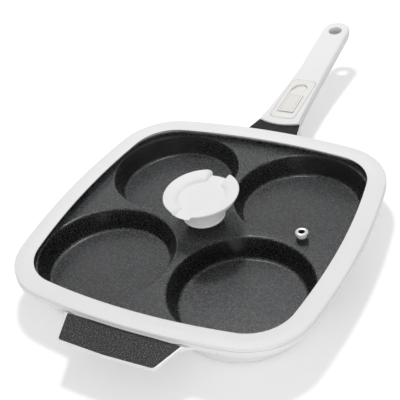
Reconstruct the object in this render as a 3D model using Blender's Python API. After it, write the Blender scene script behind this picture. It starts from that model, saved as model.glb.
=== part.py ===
"""Four cup egg pan with a flat glass lid and a handle that pulls off.

Metres, +Z up. The pan's middle is on the Y axis, the handle points to +Y and the
front tab to -Y. Heights inside the model are counted from the deck, the flat top
between the four wells; the parent empties then set the cups' feet on Z = 0 and
bring the middle of the whole length to Y = 0.
"""

import math

import bmesh
import bpy
from mathutils import Matrix, Vector

MM = 0.001
GAP = 0.3 * MM
OVERLAP = 1.0 * MM

# Casting: deck, rim and cups. The well's radius drives the whole pan
WELL_TOP_RADIUS = 59.8 * MM
WELL_BRIDGE = 6.4 * MM
WELL_DRAFT = 7.6 * MM
WELL_DEPTH = 18.0 * MM
WELL_LIP = 1.4 * MM
WELL_FILLET = 4.0 * MM
DECK_MARGIN = 10.2 * MM
DECK_THICKNESS = 3.5 * MM
RIM_HEIGHT = 6.0 * MM
RIM_WALL_WIDTH = 7.0 * MM
RIM_EDGE = 0.8 * MM
CUP_WALL = 2.2 * MM
CUP_DRAFT = 3.6 * MM
CUP_FILLET = 8.0 * MM
FOOT_WIDTH = 3.2 * MM
BASE_THICKNESS = 10.0 * MM
DISC_THICKNESS = 1.5 * MM
DISC_BEVEL = 0.3 * MM
ROUND_STEPS = 36

# Rounded square of the pan: shallow side arcs and corner arcs as shares of its half width
SIDE_SHARE = 4.186
SIDE_GAIN = 9.4
CORNER_SHARE = 0.3964
CORNER_LOSS = 0.8
SIDE_STEPS = 4
CORNER_STEPS = 6

# Front tab, a plate that grows out of the rim
TAB_REACH = 27.5 * MM
TAB_ROOT_HALF = 51.5 * MM
TAB_TIP_HALF = 43.0 * MM
TAB_FLARE = 9.0 * MM
TAB_FLARE_START = 3.4 * MM
TAB_SHOULDER = 1.0 * MM
TAB_CORNER = 4.5 * MM
TAB_TOP = 4.0 * MM
TAB_THICKNESS = 3.8 * MM
TAB_BOW = 1.6 * MM

# Rear bracket and the tongue that the handle slides on
BRACKET_REACH = 28.0 * MM
BRACKET_ROOT_HALF = 28.0 * MM
BRACKET_TIP_HALF = 21.9 * MM
BRACKET_TOP = 1.2 * MM
BRACKET_HEIGHT = 13.0 * MM
BRACKET_EDGE = 2.5 * MM
BRACKET_DRAFT = 0.5 * MM
BRACKET_STEP = 0.5 * MM
TONGUE_HALF = 9.0 * MM
TONGUE_LENGTH = 29.0 * MM
TONGUE_TOP = -3.4 * MM
TONGUE_THICKNESS = 3.2 * MM
TONGUE_SLOT_HALF = 4.8 * MM
TONGUE_SLOT_LENGTH = 5.4 * MM
TONGUE_LAND = 4.6 * MM

# Lid
GLASS_THICKNESS = 3.8 * MM
GLASS_BOTTOM = 3.6 * MM
GLASS_EDGE = 0.4 * MM
RING_WIDTH = 16.6 * MM
RING_GROOVE_INSET = 8.9 * MM
RING_SKIRT_CLEARANCE = 0.6 * MM
RING_LIP = 0.6 * MM
RING_TOP = 9.0 * MM
RING_ROUND = 1.1 * MM
RING_LOWER_LIP = 1.1 * MM
RING_LOWER_REACH = 2.4 * MM

# Knob: base cone, tray with two notches, insert, screw and seals
KNOB_TURN = math.radians(-5.0)
KNOB_BOTTOM_RADIUS = 18.3 * MM
KNOB_NECK_RADIUS = 20.5 * MM
KNOB_WALL = 2.4 * MM
KNOB_BASE_HEIGHT = 16.0 * MM
KNOB_BOSS_RADIUS = 5.6 * MM
KNOB_BOSS_DRAFT = 1.0 * MM
KNOB_EDGE = 0.6 * MM
TRAY_RADIUS = 32.2 * MM
TRAY_STRETCH = 1.06
TRAY_SIDE_DRAFT = 2.0 * MM
TRAY_SIDE_HEIGHT = 4.2 * MM
TRAY_HEIGHT = 8.0 * MM
TRAY_FLOOR = 3.0 * MM
TRAY_FLOOR_RADIUS = 20.5 * MM
TRAY_RIM = 1.2 * MM
TRAY_RIM_ROUND = 0.5 * MM
TRAY_CHAMFER = 1.0 * MM
TRAY_ROUND = 0.8 * MM
TRAY_SHOULDER = 5.4 * MM
TRAY_SHOULDER_DROP = 2.0 * MM
TRAY_BLEND = 1.5 * MM
NOTCH_WIDTH = 16.0 * MM
NOTCH_SINK = 0.1 * MM
SEAL_THICKNESS = 0.6 * MM
SEAL_OVERHANG = 0.6 * MM
SCREW_RADIUS = 2.0 * MM
INSERT_RADIUS = 3.4 * MM
INSERT_LENGTH = 8.0 * MM
WASHER_RADIUS = 7.0 * MM
WASHER_THICKNESS = 0.5 * MM
SCREW_HEAD_RADIUS = 4.6 * MM
SCREW_HEAD_HEIGHT = 1.1 * MM
DRIVER_REACH = 2.6 * MM
DRIVER_HALF = 0.45 * MM
GLASS_HOLE = 3.4 * MM

# Steam vent
VENT_INSET = 35.4 * MM
VENT_Y = 4.5 * MM
VENT_BORE = 2.2 * MM
VENT_BARREL = 3.3 * MM
VENT_FLANGE = 5.3 * MM
VENT_CROWN = 1.5 * MM
VENT_SLEEVE = 0.7 * MM
VENT_ROUND = 0.5 * MM
COLLAR_WIDTH = 1.7 * MM
COLLAR_HEIGHT = 1.1 * MM

# Handle body: top line rises from the front, half width along its length
HANDLE_FRONT_TOP = 3.6 * MM
HANDLE_RISE = 0.072
HANDLE_RISE_END = 0.145
HANDLE_BEND_START = 61.0 * MM
HANDLE_BEND_LENGTH = 50.0 * MM
HANDLE_LENGTH = 182.5 * MM
HANDLE_END_RADIUS = 15.1 * MM
HANDLE_FRONT_HALF = 20.6 * MM
HANDLE_NECK_HALF = 15.3 * MM
HANDLE_NECK_START = 100.0 * MM
HANDLE_TAPER = 1.6
HANDLE_THICKNESS = 16.0 * MM
HANDLE_TOP_ROUND = 3.0 * MM
HANDLE_BOTTOM_ROUND = 6.0 * MM
HANDLE_DRAFT = 1.2 * MM
HANDLE_STEPS = 15
HANDLE_END_STEPS = 7
SPLIT_DEPTH = 7.0 * MM
LIP_REACH = 6.8 * MM
LIP_BOW = 4.7 * MM
SHELL_TOP_WALL = 3.2 * MM
SHELL_SIDE_WALL = 2.4 * MM
SHELL_BOTTOM_WALL = 2.0 * MM
SHELL_FRONT_WALL = 2.6 * MM
CAVITY_LENGTH = 141.0 * MM
CAVITY_CHAMFER = 2.4 * MM
HANG_HOLE_RADIUS = 7.0 * MM
HANG_HOLE_INSET = 17.2 * MM
HANG_HOLE_FLARE = 0.8 * MM
BOSS_RADIUS = 2.9 * MM
PILOT_RADIUS = 1.2 * MM
CASE_SCREW_RADIUS = 0.9 * MM
CASE_HEAD_RADIUS = 2.2 * MM
CASE_HEAD_HEIGHT = 1.4 * MM
CASE_SCREW_BITE = 2.2 * MM
CASE_SEAT = 2.4 * MM
FRONT_SCREW_HALF = 13.6 * MM
FRONT_SCREW_OFFSET = 7.4 * MM
REAR_SCREW_OFFSET = 91.0 * MM

# Latch: bezel, slider, carriage, pawl, pin, spring and the sleeve round the tongue
BEZEL_HALF = 13.2 * MM
BEZEL_LENGTH = 68.4 * MM
BEZEL_OFFSET = 3.4 * MM
BEZEL_CORNER = 6.0 * MM
BEZEL_THICKNESS = 2.0 * MM
BEZEL_PROUD = 0.2 * MM
BEZEL_LEDGE = 3.0 * MM
RECESS_HALF = 8.7 * MM
RECESS_DEPTH = 1.2 * MM
RECESS_OFFSET = 14.3 * MM
SLIDER_LENGTH = 31.0 * MM
SLIDER_TRAVEL = 7.0 * MM
SLIDER_PROUD = 0.1 * MM
ARCH_ROOM = 10.6 * MM
SLIDER_PLATE_MARGIN = 2.2 * MM
SLIDER_PLATE_THICKNESS = 0.4 * MM
STEM_HALF = 2.6 * MM
STEM_LENGTH = 9.0 * MM
STEM_OFFSET = 13.0 * MM
CARRIAGE_HALF = 5.4 * MM
CARRIAGE_LENGTH = 17.0 * MM
CARRIAGE_THICKNESS = 1.5 * MM
CARRIAGE_SCREW_HEAD = 1.7 * MM
CARRIAGE_SCREW_SHANK = 0.8 * MM
CARRIAGE_HEAD_HEIGHT = 0.8 * MM
NOSE_HALF = 3.6 * MM
NOSE_RADIUS = 1.0 * MM
NOSE_DROP = 2.0 * MM
NOSE_BEHIND_PIVOT = 3.0 * MM
PAWL_PIVOT_OFFSET = 36.0 * MM
PAWL_HALF = 4.0 * MM
PAWL_THICKNESS = 1.6 * MM
PAWL_TAIL = 11.5 * MM
PAWL_TAIL_UNDER = 0.4 * MM
PAWL_HUB = 2.4 * MM
PAWL_LIFT = math.radians(12.0)
RAMP_STEPS = 8
HOOK_BITE = 2.0 * MM
HOOK_LENGTH = 3.4 * MM
HOOK_PLAY = 0.8 * MM
PIN_RADIUS = 1.2 * MM
PIN_STEPS = 24
EAR_WIDTH = 2.4 * MM
EAR_RADIUS = 2.9 * MM
EAR_SPREAD = 1.3
SPRING_WIRE = 0.3 * MM
SPRING_RADIUS = 2.2 * MM
SPRING_TURNS = 4
SPRING_STEPS = 10
SPRING_BEHIND_PIVOT = 9.4 * MM
SPRING_POST = 1.3 * MM
SPRING_POST_HEIGHT = 2.4 * MM
SPRING_PAD = 3.4 * MM
SLEEVE_WALL = 0.8 * MM
SLEEVE_LENGTH = 29.5 * MM
SLEEVE_RIB_OFFSET = 12.0 * MM
SLEEVE_RIB_WIDTH = 2.0 * MM

# Heights and places that follow from the sizes above
WELL_SPACING = 2.0 * WELL_TOP_RADIUS + WELL_BRIDGE
WELL_FLOOR_RADIUS = WELL_TOP_RADIUS - WELL_DRAFT
CUP_TOP_RADIUS = WELL_TOP_RADIUS + CUP_WALL
CUP_LOW_RADIUS = CUP_TOP_RADIUS - CUP_DRAFT
RIM_WALL_HALF = WELL_SPACING / 2.0 + WELL_TOP_RADIUS + DECK_MARGIN
RIM_HALF = RIM_WALL_HALF + RIM_WALL_WIDTH
SIDE_RADIUS = SIDE_SHARE * RIM_HALF
CORNER_RADIUS = CORNER_SHARE * RIM_HALF
RING_INNER_HALF = RIM_HALF - RING_WIDTH
RING_GROOVE_HALF = RIM_HALF - RING_GROOVE_INSET
VENT_X = RING_INNER_HALF - VENT_INSET
FOOT_Z = -(WELL_DEPTH + BASE_THICKNESS)
HANDLE_Y = RIM_HALF + BRACKET_REACH + GAP
HANDLE_END = HANDLE_Y + HANDLE_LENGTH
TAB_END = -(RIM_HALF + TAB_REACH)
GLASS_TOP = GLASS_BOTTOM + GLASS_THICKNESS
TONGUE_BOTTOM = TONGUE_TOP - TONGUE_THICKNESS
TONGUE_ROOT = RIM_HALF + BRACKET_REACH
TONGUE_TIP = TONGUE_ROOT + TONGUE_LENGTH
SLOT_END = TONGUE_TIP - TONGUE_LAND
SLOT_START = SLOT_END - TONGUE_SLOT_LENGTH
LATCH_TILT = math.atan(HANDLE_RISE)
SLEEVE_HALF = TONGUE_HALF + GAP + SLEEVE_WALL
SLEEVE_TOP = TONGUE_TOP + GAP + SLEEVE_WALL
SLEEVE_BOTTOM = TONGUE_BOTTOM - GAP - SLEEVE_WALL
PIVOT_Y = HANDLE_Y + PAWL_PIVOT_OFFSET
PIVOT_Z = SLEEVE_TOP + GAP + PAWL_THICKNESS / 2.0
CARRIAGE_TOP = BEZEL_PROUD - BEZEL_THICKNESS - GAP
CARRIAGE_LOW = CARRIAGE_TOP - CARRIAGE_THICKNESS


def clear_scene():
    """Removes whatever the file holds, so that only the pan is in it."""
    for item in list(bpy.data.objects):
        bpy.data.objects.remove(item, do_unlink=True)


def make_material(name, colour, roughness, metallic=0.0, alpha=1.0):
    """A plain Principled material."""
    material = bpy.data.materials.new(name)
    material.use_nodes = True
    shader = material.node_tree.nodes["Principled BSDF"]
    shader.inputs["Base Color"].default_value = (*colour, 1.0)
    shader.inputs["Roughness"].default_value = roughness
    shader.inputs["Metallic"].default_value = metallic
    shader.inputs["Alpha"].default_value = alpha
    material.diffuse_color = (*colour, alpha)
    return material


def add_empty(name, location, parent=None, tilt=0.0):
    """An empty that carries pieces; tilt turns it about X."""
    empty = bpy.data.objects.new(name, None)
    empty.location = location
    empty.rotation_euler = (tilt, 0.0, 0.0)
    empty.parent = parent
    bpy.context.collection.objects.link(empty)
    return empty


def add_object(name, mesh_builder, material=None, parent=None, location=(0.0, 0.0, 0.0)):
    """Turns a bmesh into a named object, smooth apart from its sharp edges."""
    mesh = bpy.data.meshes.new(name)
    bmesh.ops.remove_doubles(mesh_builder, verts=mesh_builder.verts, dist=1e-6)
    bmesh.ops.recalc_face_normals(mesh_builder, faces=mesh_builder.faces)
    mesh_builder.to_mesh(mesh)
    mesh_builder.free()
    mesh.shade_smooth()
    mesh.set_sharp_from_angle(angle=math.radians(35.0))
    if material is not None:
        mesh.materials.append(material)
    thing = bpy.data.objects.new(name, mesh)
    thing.location = location
    thing.parent = parent
    bpy.context.collection.objects.link(thing)
    return thing


def boolean(target, tool, operation):
    """Cuts a tool out of the target, or joins it on; the tool stays as a hidden guide."""
    tool.hide_render = True
    tool.display_type = "WIRE"
    modifier = target.modifiers.new(tool.name, "BOOLEAN")
    modifier.operation = operation
    modifier.object = tool


def cut(target, tool):
    """Takes a tool's space out of the target."""
    boolean(target, tool, "DIFFERENCE")


def join(target, tool):
    """Makes a tool part of the target's solid."""
    boolean(target, tool, "UNION")


def arc(centre, radius, start, end, steps):
    """Points of an arc in a plane, both ends included; angles in degrees."""
    points = []
    for index in range(steps + 1):
        angle = math.radians(start + (end - start) * index / steps)
        points.append((centre[0] + radius * math.cos(angle), centre[1] + radius * math.sin(angle)))
    return points


def rounded(corners, steps=4):
    """Replaces each corner (a, b, radius) of an open or closed outline by an arc."""
    points = []
    count = len(corners)
    for index, (a, b, radius) in enumerate(corners):
        here = Vector((a, b))
        if radius == 0.0:
            points.append((a, b))
            continue
        before = Vector(corners[index - 1][:2]) - here
        after = Vector(corners[(index + 1) % count][:2]) - here
        half = before.angle(after) / 2.0
        reach = radius / math.tan(half)
        start = here + before.normalized() * reach
        end = here + after.normalized() * reach
        centre = here + (before.normalized() + after.normalized()).normalized() * (radius / math.sin(half))
        sweep = math.pi - 2.0 * half
        first = start - centre
        turn = 1.0 if first.x * (end - centre).y - first.y * (end - centre).x > 0.0 else -1.0
        for step in range(steps + 1):
            angle = turn * sweep * step / steps
            cosine, sine = math.cos(angle), math.sin(angle)
            points.append((centre.x + first.x * cosine - first.y * sine,
                           centre.y + first.x * sine + first.y * cosine))
    return points


def skin(rings, closed_rings=True, closed_path=False, caps=True):
    """Joins rings of equal length by quads; open paths get a face at each end."""
    builder = bmesh.new()
    rows = [[builder.verts.new(point) for point in ring] for ring in rings]
    size = len(rows[0])
    pairs = list(zip(rows, rows[1:]))
    if closed_path:
        pairs.append((rows[-1], rows[0]))
    for lower, upper in pairs:
        for index in range(size if closed_rings else size - 1):
            following = (index + 1) % size
            builder.faces.new((lower[index], lower[following], upper[following], upper[index]))
    if caps and not closed_path:
        builder.faces.new(rows[0])
        builder.faces.new(rows[-1])
    return builder


def turned(profile, centre=(0.0, 0.0), steps=ROUND_STEPS):
    """Turns a profile of (radius, height) about a vertical axis.

    A profile whose ends are on the axis makes a full solid, any other a ring.
    """
    on_axis = profile[0][0] == 0.0 and profile[-1][0] == 0.0
    outer = profile[1:-1] if on_axis else profile
    rings = []
    for radius, height in outer:
        rings.append([(centre[0] + x, centre[1] + y, height)
                      for x, y in arc((0.0, 0.0), radius, 0.0, 360.0 - 360.0 / steps, steps - 1)])
    return skin(rings, closed_path=not on_axis)


def prism(outline, bottom, top):
    """An outline in the XY plane pulled up from one height to another."""
    return skin([[(x, y, bottom) for x, y in outline], [(x, y, top) for x, y in outline]])


def block(low, high):
    """A box between two corners."""
    outline = [(low[0], low[1]), (high[0], low[1]), (high[0], high[1]), (low[0], high[1])]
    return prism(outline, low[2], high[2])


def side_prism(outline, half):
    """An outline in the YZ plane pulled out to both sides of X = 0."""
    return skin([[(-half, y, z) for y, z in outline], [(half, y, z) for y, z in outline]])


def rounded_square(half):
    """Outline of the rounded square with the given half width.

    Four shallow side arcs meet four corner arcs in tangents. Both radii follow the
    half width, so that all outlines of the pan and the lid lie evenly in each other.
    """
    inset = RIM_HALF - half
    side = SIDE_RADIUS + SIDE_GAIN * inset
    corner = CORNER_RADIUS - CORNER_LOSS * inset
    offset = half - side
    reach = side - corner
    centre = (offset + math.sqrt(2.0 * reach * reach - offset * offset)) / 2.0
    lean = math.degrees(math.atan2(centre, centre - offset))
    points = []
    for quarter in range(4):
        piece = arc((offset, 0.0), side, -lean, lean, SIDE_STEPS)[:-1]
        piece += arc((centre, centre), corner, lean, 90.0 - lean, CORNER_STEPS)[:-1]
        turn = Matrix.Rotation(quarter * math.pi / 2.0, 2)
        points += [tuple(turn @ Vector(point)) for point in piece]
    return points


def square_rings(profile):
    """Rings of the rounded square for a profile of (half width, height)."""
    return [[(x, y, height) for x, y in rounded_square(half)] for half, height in profile]


def well_centres():
    """Name and centre of each well; front is the tab's side."""
    half = WELL_SPACING / 2.0
    return {
        "front_left": (-half, -half),
        "front_right": (half, -half),
        "back_right": (half, half),
        "back_left": (-half, half),
    }


def cup_profile():
    """Outside of one cup, from inside the deck down to the recess for its disc."""
    start = -DECK_THICKNESS / 2.0
    wall = rounded([
        (CUP_TOP_RADIUS, start, 0.0),
        (CUP_LOW_RADIUS, FOOT_Z, CUP_FILLET),
        (0.0, FOOT_Z, 0.0),
    ], 3)[:-1]
    recess = FOOT_Z + DISC_THICKNESS + GAP
    inner = wall[-1][0] - FOOT_WIDTH
    return [(0.0, start)] + wall + [(inner, FOOT_Z), (inner, recess), (0.0, recess)]


def well_profile():
    """Inside of one well, from above the deck down to its floor."""
    lip = rounded([
        (WELL_TOP_RADIUS + 2.0 * WELL_LIP, 0.0, 0.0),
        (WELL_TOP_RADIUS, 0.0, WELL_LIP),
        (WELL_FLOOR_RADIUS, -WELL_DEPTH, WELL_FILLET),
        (0.0, -WELL_DEPTH, 0.0),
    ], 2)
    return [(0.0, OVERLAP), (lip[1][0] + OVERLAP / 2.0, OVERLAP)] + lip[1:]


def rim_profile():
    """Rim and deck edge as (half width, height), from the deck's top to its underside."""
    wall = RIM_WALL_HALF
    under = wall + 2.0 * RIM_EDGE
    return [
        (wall - 2.0 * RIM_EDGE, 0.0),
        (wall - RIM_EDGE / 2.0, RIM_EDGE / 2.0),
        (wall, 2.0 * RIM_EDGE),
        (wall, RIM_HEIGHT - RIM_EDGE / 2.0),
        (wall + RIM_EDGE / 2.0, RIM_HEIGHT),
        (RIM_HALF - RIM_EDGE, RIM_HEIGHT),
        (RIM_HALF, RIM_HEIGHT - RIM_EDGE),
        (RIM_HALF, RIM_EDGE),
        (RIM_HALF - RIM_EDGE, 0.0),
        (under + 2.0 * RIM_EDGE, -RIM_EDGE / 2.0),
        (under, -DECK_THICKNESS),
    ]


def tab_outline():
    """Plan of the front tab: flared root, drawn in sides, bowed tip."""
    flare = TAB_ROOT_HALF + TAB_FLARE
    right = rounded([
        (flare, -RIM_WALL_HALF - OVERLAP, 0.0),
        (flare, TAB_FLARE_START - RIM_HALF, 0.0),
        (TAB_ROOT_HALF, -RIM_HALF - TAB_SHOULDER, TAB_FLARE),
        (TAB_TIP_HALF, TAB_END + TAB_BOW, TAB_CORNER),
        (0.0, TAB_END, 0.0),
    ])
    left = [(-x, y) for x, y in reversed(right[:-1])]
    return right + left


def bracket_rings():
    """Cross sections of the rear bracket from inside the rim to its rear face."""
    low = BRACKET_TOP - BRACKET_HEIGHT
    end = RIM_HALF + BRACKET_REACH
    stations = (
        (RIM_WALL_HALF - OVERLAP, -DECK_THICKNESS - BRACKET_STEP),
        (RIM_WALL_HALF + RIM_WALL_WIDTH / 2.0, (low - DECK_THICKNESS) / 2.0),
        (RIM_HALF, low),
        (end, low),
    )
    slope = (BRACKET_ROOT_HALF - BRACKET_TIP_HALF) / BRACKET_REACH
    rings = []
    for y, bottom in stations:
        half = BRACKET_TIP_HALF + slope * (end - y)
        edge = min(BRACKET_EDGE, (BRACKET_TOP - bottom) / 2.5)
        section = rounded([
            (-half, BRACKET_TOP, 0.0),
            (BRACKET_DRAFT - half, bottom, edge),
            (half - BRACKET_DRAFT, bottom, edge),
            (half, BRACKET_TOP, 0.0),
        ])
        rings.append([(x, y, z) for x, z in section])
    return rings


def make_pan(parent, coating, steel):
    """The casting, and the steel disc in each cup's underside."""
    pan = add_object("pan_body", skin(square_rings(rim_profile())), coating, parent)
    join(pan, add_object("tab_guide", prism(tab_outline(), TAB_TOP - TAB_THICKNESS, TAB_TOP), None, parent))
    join(pan, add_object("bracket_guide", skin(bracket_rings()), None, parent))
    tongue = block(
        (-TONGUE_HALF, TONGUE_ROOT - OVERLAP, TONGUE_BOTTOM),
        (TONGUE_HALF, TONGUE_TIP, TONGUE_TOP))
    join(pan, add_object("tongue_guide", tongue, None, parent))
    slot = block(
        (-TONGUE_SLOT_HALF, SLOT_START, TONGUE_BOTTOM - OVERLAP),
        (TONGUE_SLOT_HALF, SLOT_END, TONGUE_TOP + OVERLAP))
    cut(pan, add_object("tongue_slot_cutter", slot, None, parent))
    for name, centre in well_centres().items():
        join(pan, add_object("cup_guide_" + name, turned(cup_profile(), centre), None, parent))
    for name, centre in well_centres().items():
        cut(pan, add_object("well_cutter_" + name, turned(well_profile(), centre), None, parent))

    radius = cup_profile()[-2][0] - GAP
    for name, (x, y) in well_centres().items():
        disc = turned([
            (0.0, DISC_THICKNESS),
            (radius, DISC_THICKNESS),
            (radius, DISC_BEVEL),
            (radius - DISC_BEVEL, 0.0),
            (0.0, 0.0),
        ])
        add_object("base_disc_" + name, disc, steel, parent, (x, y, FOOT_Z))


def ring_profile():
    """Closed section of the lid's silicone ring as (half width, height).

    It lies on the rim, hangs a skirt inside the rim's wall, and holds the glass in a
    groove between a thin upper lip and a thicker lower one.
    """
    seat = RIM_HEIGHT + GAP
    skirt = RIM_WALL_HALF - RING_SKIRT_CLEARANCE
    lip_under = GLASS_TOP + GAP
    lip_top = lip_under + RING_LIP
    groove_low = GLASS_BOTTOM - GAP
    skirt_low = groove_low - RING_LOWER_LIP
    lower_inner = RING_GROOVE_HALF - RING_LOWER_REACH
    return [
        (RIM_HALF - RING_LIP, seat),
        (RIM_HALF, seat + RING_LIP),
        (RIM_HALF, RING_TOP - RING_ROUND),
        (RIM_HALF - 0.3 * RING_ROUND, RING_TOP - 0.3 * RING_ROUND),
        (RIM_HALF - RING_ROUND, RING_TOP),
        (RING_INNER_HALF + RING_LIP / 2.0, lip_top),
        (RING_INNER_HALF, lip_top - RING_LIP / 2.0),
        (RING_INNER_HALF + RING_LIP / 3.0, lip_under),
        (RING_GROOVE_HALF, lip_under),
        (RING_GROOVE_HALF, groove_low),
        (lower_inner, groove_low),
        (lower_inner, skirt_low),
        (skirt - RING_LIP, skirt_low),
        (skirt, skirt_low + RING_LIP),
        (skirt, seat),
    ]


def make_lid(parent, glass, silicone, steel):
    """The glass with its two holes, and the silicone ring round it."""
    half = RING_GROOVE_HALF - GAP
    pane = add_object("lid_glass", skin(square_rings([
        (half - GLASS_EDGE, GLASS_BOTTOM),
        (half, GLASS_BOTTOM + GLASS_EDGE),
        (half, GLASS_TOP - GLASS_EDGE),
        (half - GLASS_EDGE, GLASS_TOP),
    ])), glass, parent)
    vent_hole = VENT_BARREL + 2.0 * GAP + VENT_SLEEVE
    for name, place, radius in (
            ("knob_hole_cutter", (0.0, 0.0, 0.0), GLASS_HOLE),
            ("vent_hole_cutter", (VENT_X, VENT_Y, 0.0), vent_hole)):
        hole = column(radius, GLASS_BOTTOM - OVERLAP, GLASS_TOP + OVERLAP, 24)
        cut(pane, add_object(name, hole, None, parent, place))
    add_object("lid_rim", skin(square_rings(ring_profile()), closed_path=True), silicone, parent)
    make_vent(parent, silicone, steel)


def tray_profile(low, floor, top):
    """Half section of the knob's tray, from its underside over the rim to the floor."""
    side = top - TRAY_SIDE_HEIGHT
    low_radius = TRAY_RADIUS - TRAY_SIDE_DRAFT
    outer = rounded([
        (KNOB_NECK_RADIUS, low, 0.0),
        (low_radius - TRAY_CHAMFER, side - TRAY_CHAMFER, 0.0),
        (low_radius, side, TRAY_ROUND),
        (TRAY_RADIUS, top, TRAY_RIM_ROUND),
        (TRAY_RADIUS - TRAY_RIM, top, TRAY_RIM_ROUND),
        (TRAY_RADIUS - TRAY_SHOULDER, top - TRAY_SHOULDER_DROP, TRAY_BLEND),
        (TRAY_FLOOR_RADIUS, floor, TRAY_BLEND),
        (0.0, floor, 0.0),
    ], 2)
    return [(0.0, low)] + outer


def make_knob(parent, plastic, silicone, steel, brass):
    """Cone, notched tray, brass insert, and the screw from under the glass."""
    seal_low = GLASS_TOP + GAP
    seal_top = seal_low + SEAL_THICKNESS
    seal_radius = KNOB_BOTTOM_RADIUS - SEAL_OVERHANG
    add_object("knob_seal", turned([
        (GLASS_HOLE, seal_low),
        (seal_radius, seal_low),
        (seal_radius, seal_top),
        (GLASS_HOLE, seal_top),
    ]), silicone, parent)

    base_low = seal_top + GAP
    base_top = base_low + KNOB_BASE_HEIGHT
    roof = base_top - KNOB_WALL
    bore = INSERT_RADIUS + GAP
    bore_top = base_low + 2.0 * GAP + INSERT_LENGTH
    add_object("knob_base", turned([
        (0.0, base_top),
        (KNOB_NECK_RADIUS, base_top),
        (KNOB_BOTTOM_RADIUS, base_low + KNOB_EDGE),
        (KNOB_BOTTOM_RADIUS - KNOB_EDGE, base_low),
        (KNOB_BOTTOM_RADIUS - KNOB_WALL, base_low),
        (KNOB_NECK_RADIUS - KNOB_WALL, roof),
        (KNOB_BOSS_RADIUS + KNOB_BOSS_DRAFT, roof),
        (KNOB_BOSS_RADIUS, base_low),
        (bore, base_low),
        (bore, bore_top),
        (0.0, bore_top),
    ]), plastic, parent)
    insert_top = base_low + GAP + INSERT_LENGTH
    add_object("knob_insert", turned([
        (SCREW_RADIUS + GAP, base_low + GAP),
        (INSERT_RADIUS, base_low + GAP),
        (INSERT_RADIUS, insert_top),
        (SCREW_RADIUS + GAP, insert_top),
    ], steps=20), brass, parent)

    tray_low = base_top + GAP
    tray_top = tray_low + TRAY_HEIGHT
    floor = tray_low + TRAY_FLOOR
    tray = add_object("knob_tray", turned(tray_profile(tray_low, floor, tray_top)), plastic, parent)
    for corner in tray.data.vertices:
        corner.co.y *= TRAY_STRETCH
    reach = TRAY_RADIUS * TRAY_STRETCH + OVERLAP
    notch = add_object("notch_cutter", block(
        (-NOTCH_WIDTH / 2.0, -reach, floor - NOTCH_SINK),
        (NOTCH_WIDTH / 2.0, reach, tray_top + OVERLAP)), None, parent)
    tray.rotation_euler.z = KNOB_TURN
    notch.rotation_euler.z = KNOB_TURN
    cut(tray, notch)

    under = GLASS_BOTTOM - GAP
    washer_top = under - SEAL_THICKNESS - GAP
    washer_low = washer_top - WASHER_THICKNESS
    add_object("screw_seal", turned([
        (GLASS_HOLE, under - SEAL_THICKNESS),
        (WASHER_RADIUS, under - SEAL_THICKNESS),
        (WASHER_RADIUS, under),
        (GLASS_HOLE, under),
    ], steps=24), silicone, parent)
    add_object("screw_washer", turned([
        (SCREW_RADIUS + GAP, washer_low),
        (WASHER_RADIUS, washer_low),
        (WASHER_RADIUS, washer_top),
        (SCREW_RADIUS + GAP, washer_top),
    ], steps=24), steel, parent)
    head_top = washer_low - GAP
    head_low = head_top - SCREW_HEAD_HEIGHT
    shank_top = base_low + INSERT_LENGTH
    screw = add_object("knob_screw", turned([
        (0.0, shank_top),
        (SCREW_RADIUS, shank_top),
        (SCREW_RADIUS, head_top),
        (SCREW_HEAD_RADIUS, head_top),
        (SCREW_HEAD_RADIUS, (head_top + head_low) / 2.0),
        (0.7 * SCREW_HEAD_RADIUS, head_low),
        (0.0, head_low),
    ], steps=20), steel, parent)
    for name, x, y in (("driver_cutter_long", DRIVER_REACH, DRIVER_HALF),
                       ("driver_cutter_cross", DRIVER_HALF, DRIVER_REACH)):
        tool = block((-x, -y, head_low - OVERLAP), (x, y, (head_top + head_low) / 2.0))
        cut(screw, add_object(name, tool, None, parent))


def make_vent(parent, silicone, steel):
    """Steel eyelet in a silicone grommet, clamped by a collar under the glass."""
    place = (VENT_X, VENT_Y, 0.0)
    inner = VENT_BARREL + GAP
    seal_low = GLASS_TOP + GAP
    seal_top = seal_low + SEAL_THICKNESS
    add_object("vent_grommet", turned([
        (inner, GLASS_BOTTOM),
        (inner + VENT_SLEEVE, GLASS_BOTTOM),
        (inner + VENT_SLEEVE, seal_low),
        (VENT_FLANGE + GAP, seal_low),
        (VENT_FLANGE + GAP, seal_top),
        (inner, seal_top),
    ], steps=24), silicone, parent, place)
    flange_low = seal_top + GAP
    crown = flange_low + VENT_CROWN
    collar_top = GLASS_BOTTOM - GAP
    collar_low = collar_top - COLLAR_HEIGHT
    add_object("vent_eyelet", turned([
        (VENT_BORE, collar_low - GAP),
        (VENT_BARREL, collar_low - GAP),
        (VENT_BARREL, flange_low),
        (VENT_FLANGE, flange_low),
        (VENT_FLANGE, flange_low + 0.4 * VENT_CROWN),
        (VENT_FLANGE - VENT_ROUND, flange_low + 0.8 * VENT_CROWN),
        (VENT_BARREL + VENT_ROUND, crown),
        (VENT_BORE + VENT_ROUND, crown),
        (VENT_BORE, flange_low + 0.7 * VENT_CROWN),
    ], steps=24), steel, parent, place)
    add_object("vent_collar", turned([
        (inner, collar_low),
        (inner + COLLAR_WIDTH, collar_low),
        (inner + COLLAR_WIDTH, collar_top),
        (inner, collar_top),
    ], steps=24), steel, parent, place)


def handle_top(y):
    """Height of the handle's top line: straight, then bent up a little."""
    along = y - HANDLE_Y
    bend = min(max(along - HANDLE_BEND_START, 0.0), HANDLE_BEND_LENGTH)
    beyond = max(along - HANDLE_BEND_START - HANDLE_BEND_LENGTH, 0.0)
    gain = HANDLE_RISE_END - HANDLE_RISE
    return (HANDLE_FRONT_TOP + HANDLE_RISE * along
            + gain * (bend * bend / (2.0 * HANDLE_BEND_LENGTH) + beyond))


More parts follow.
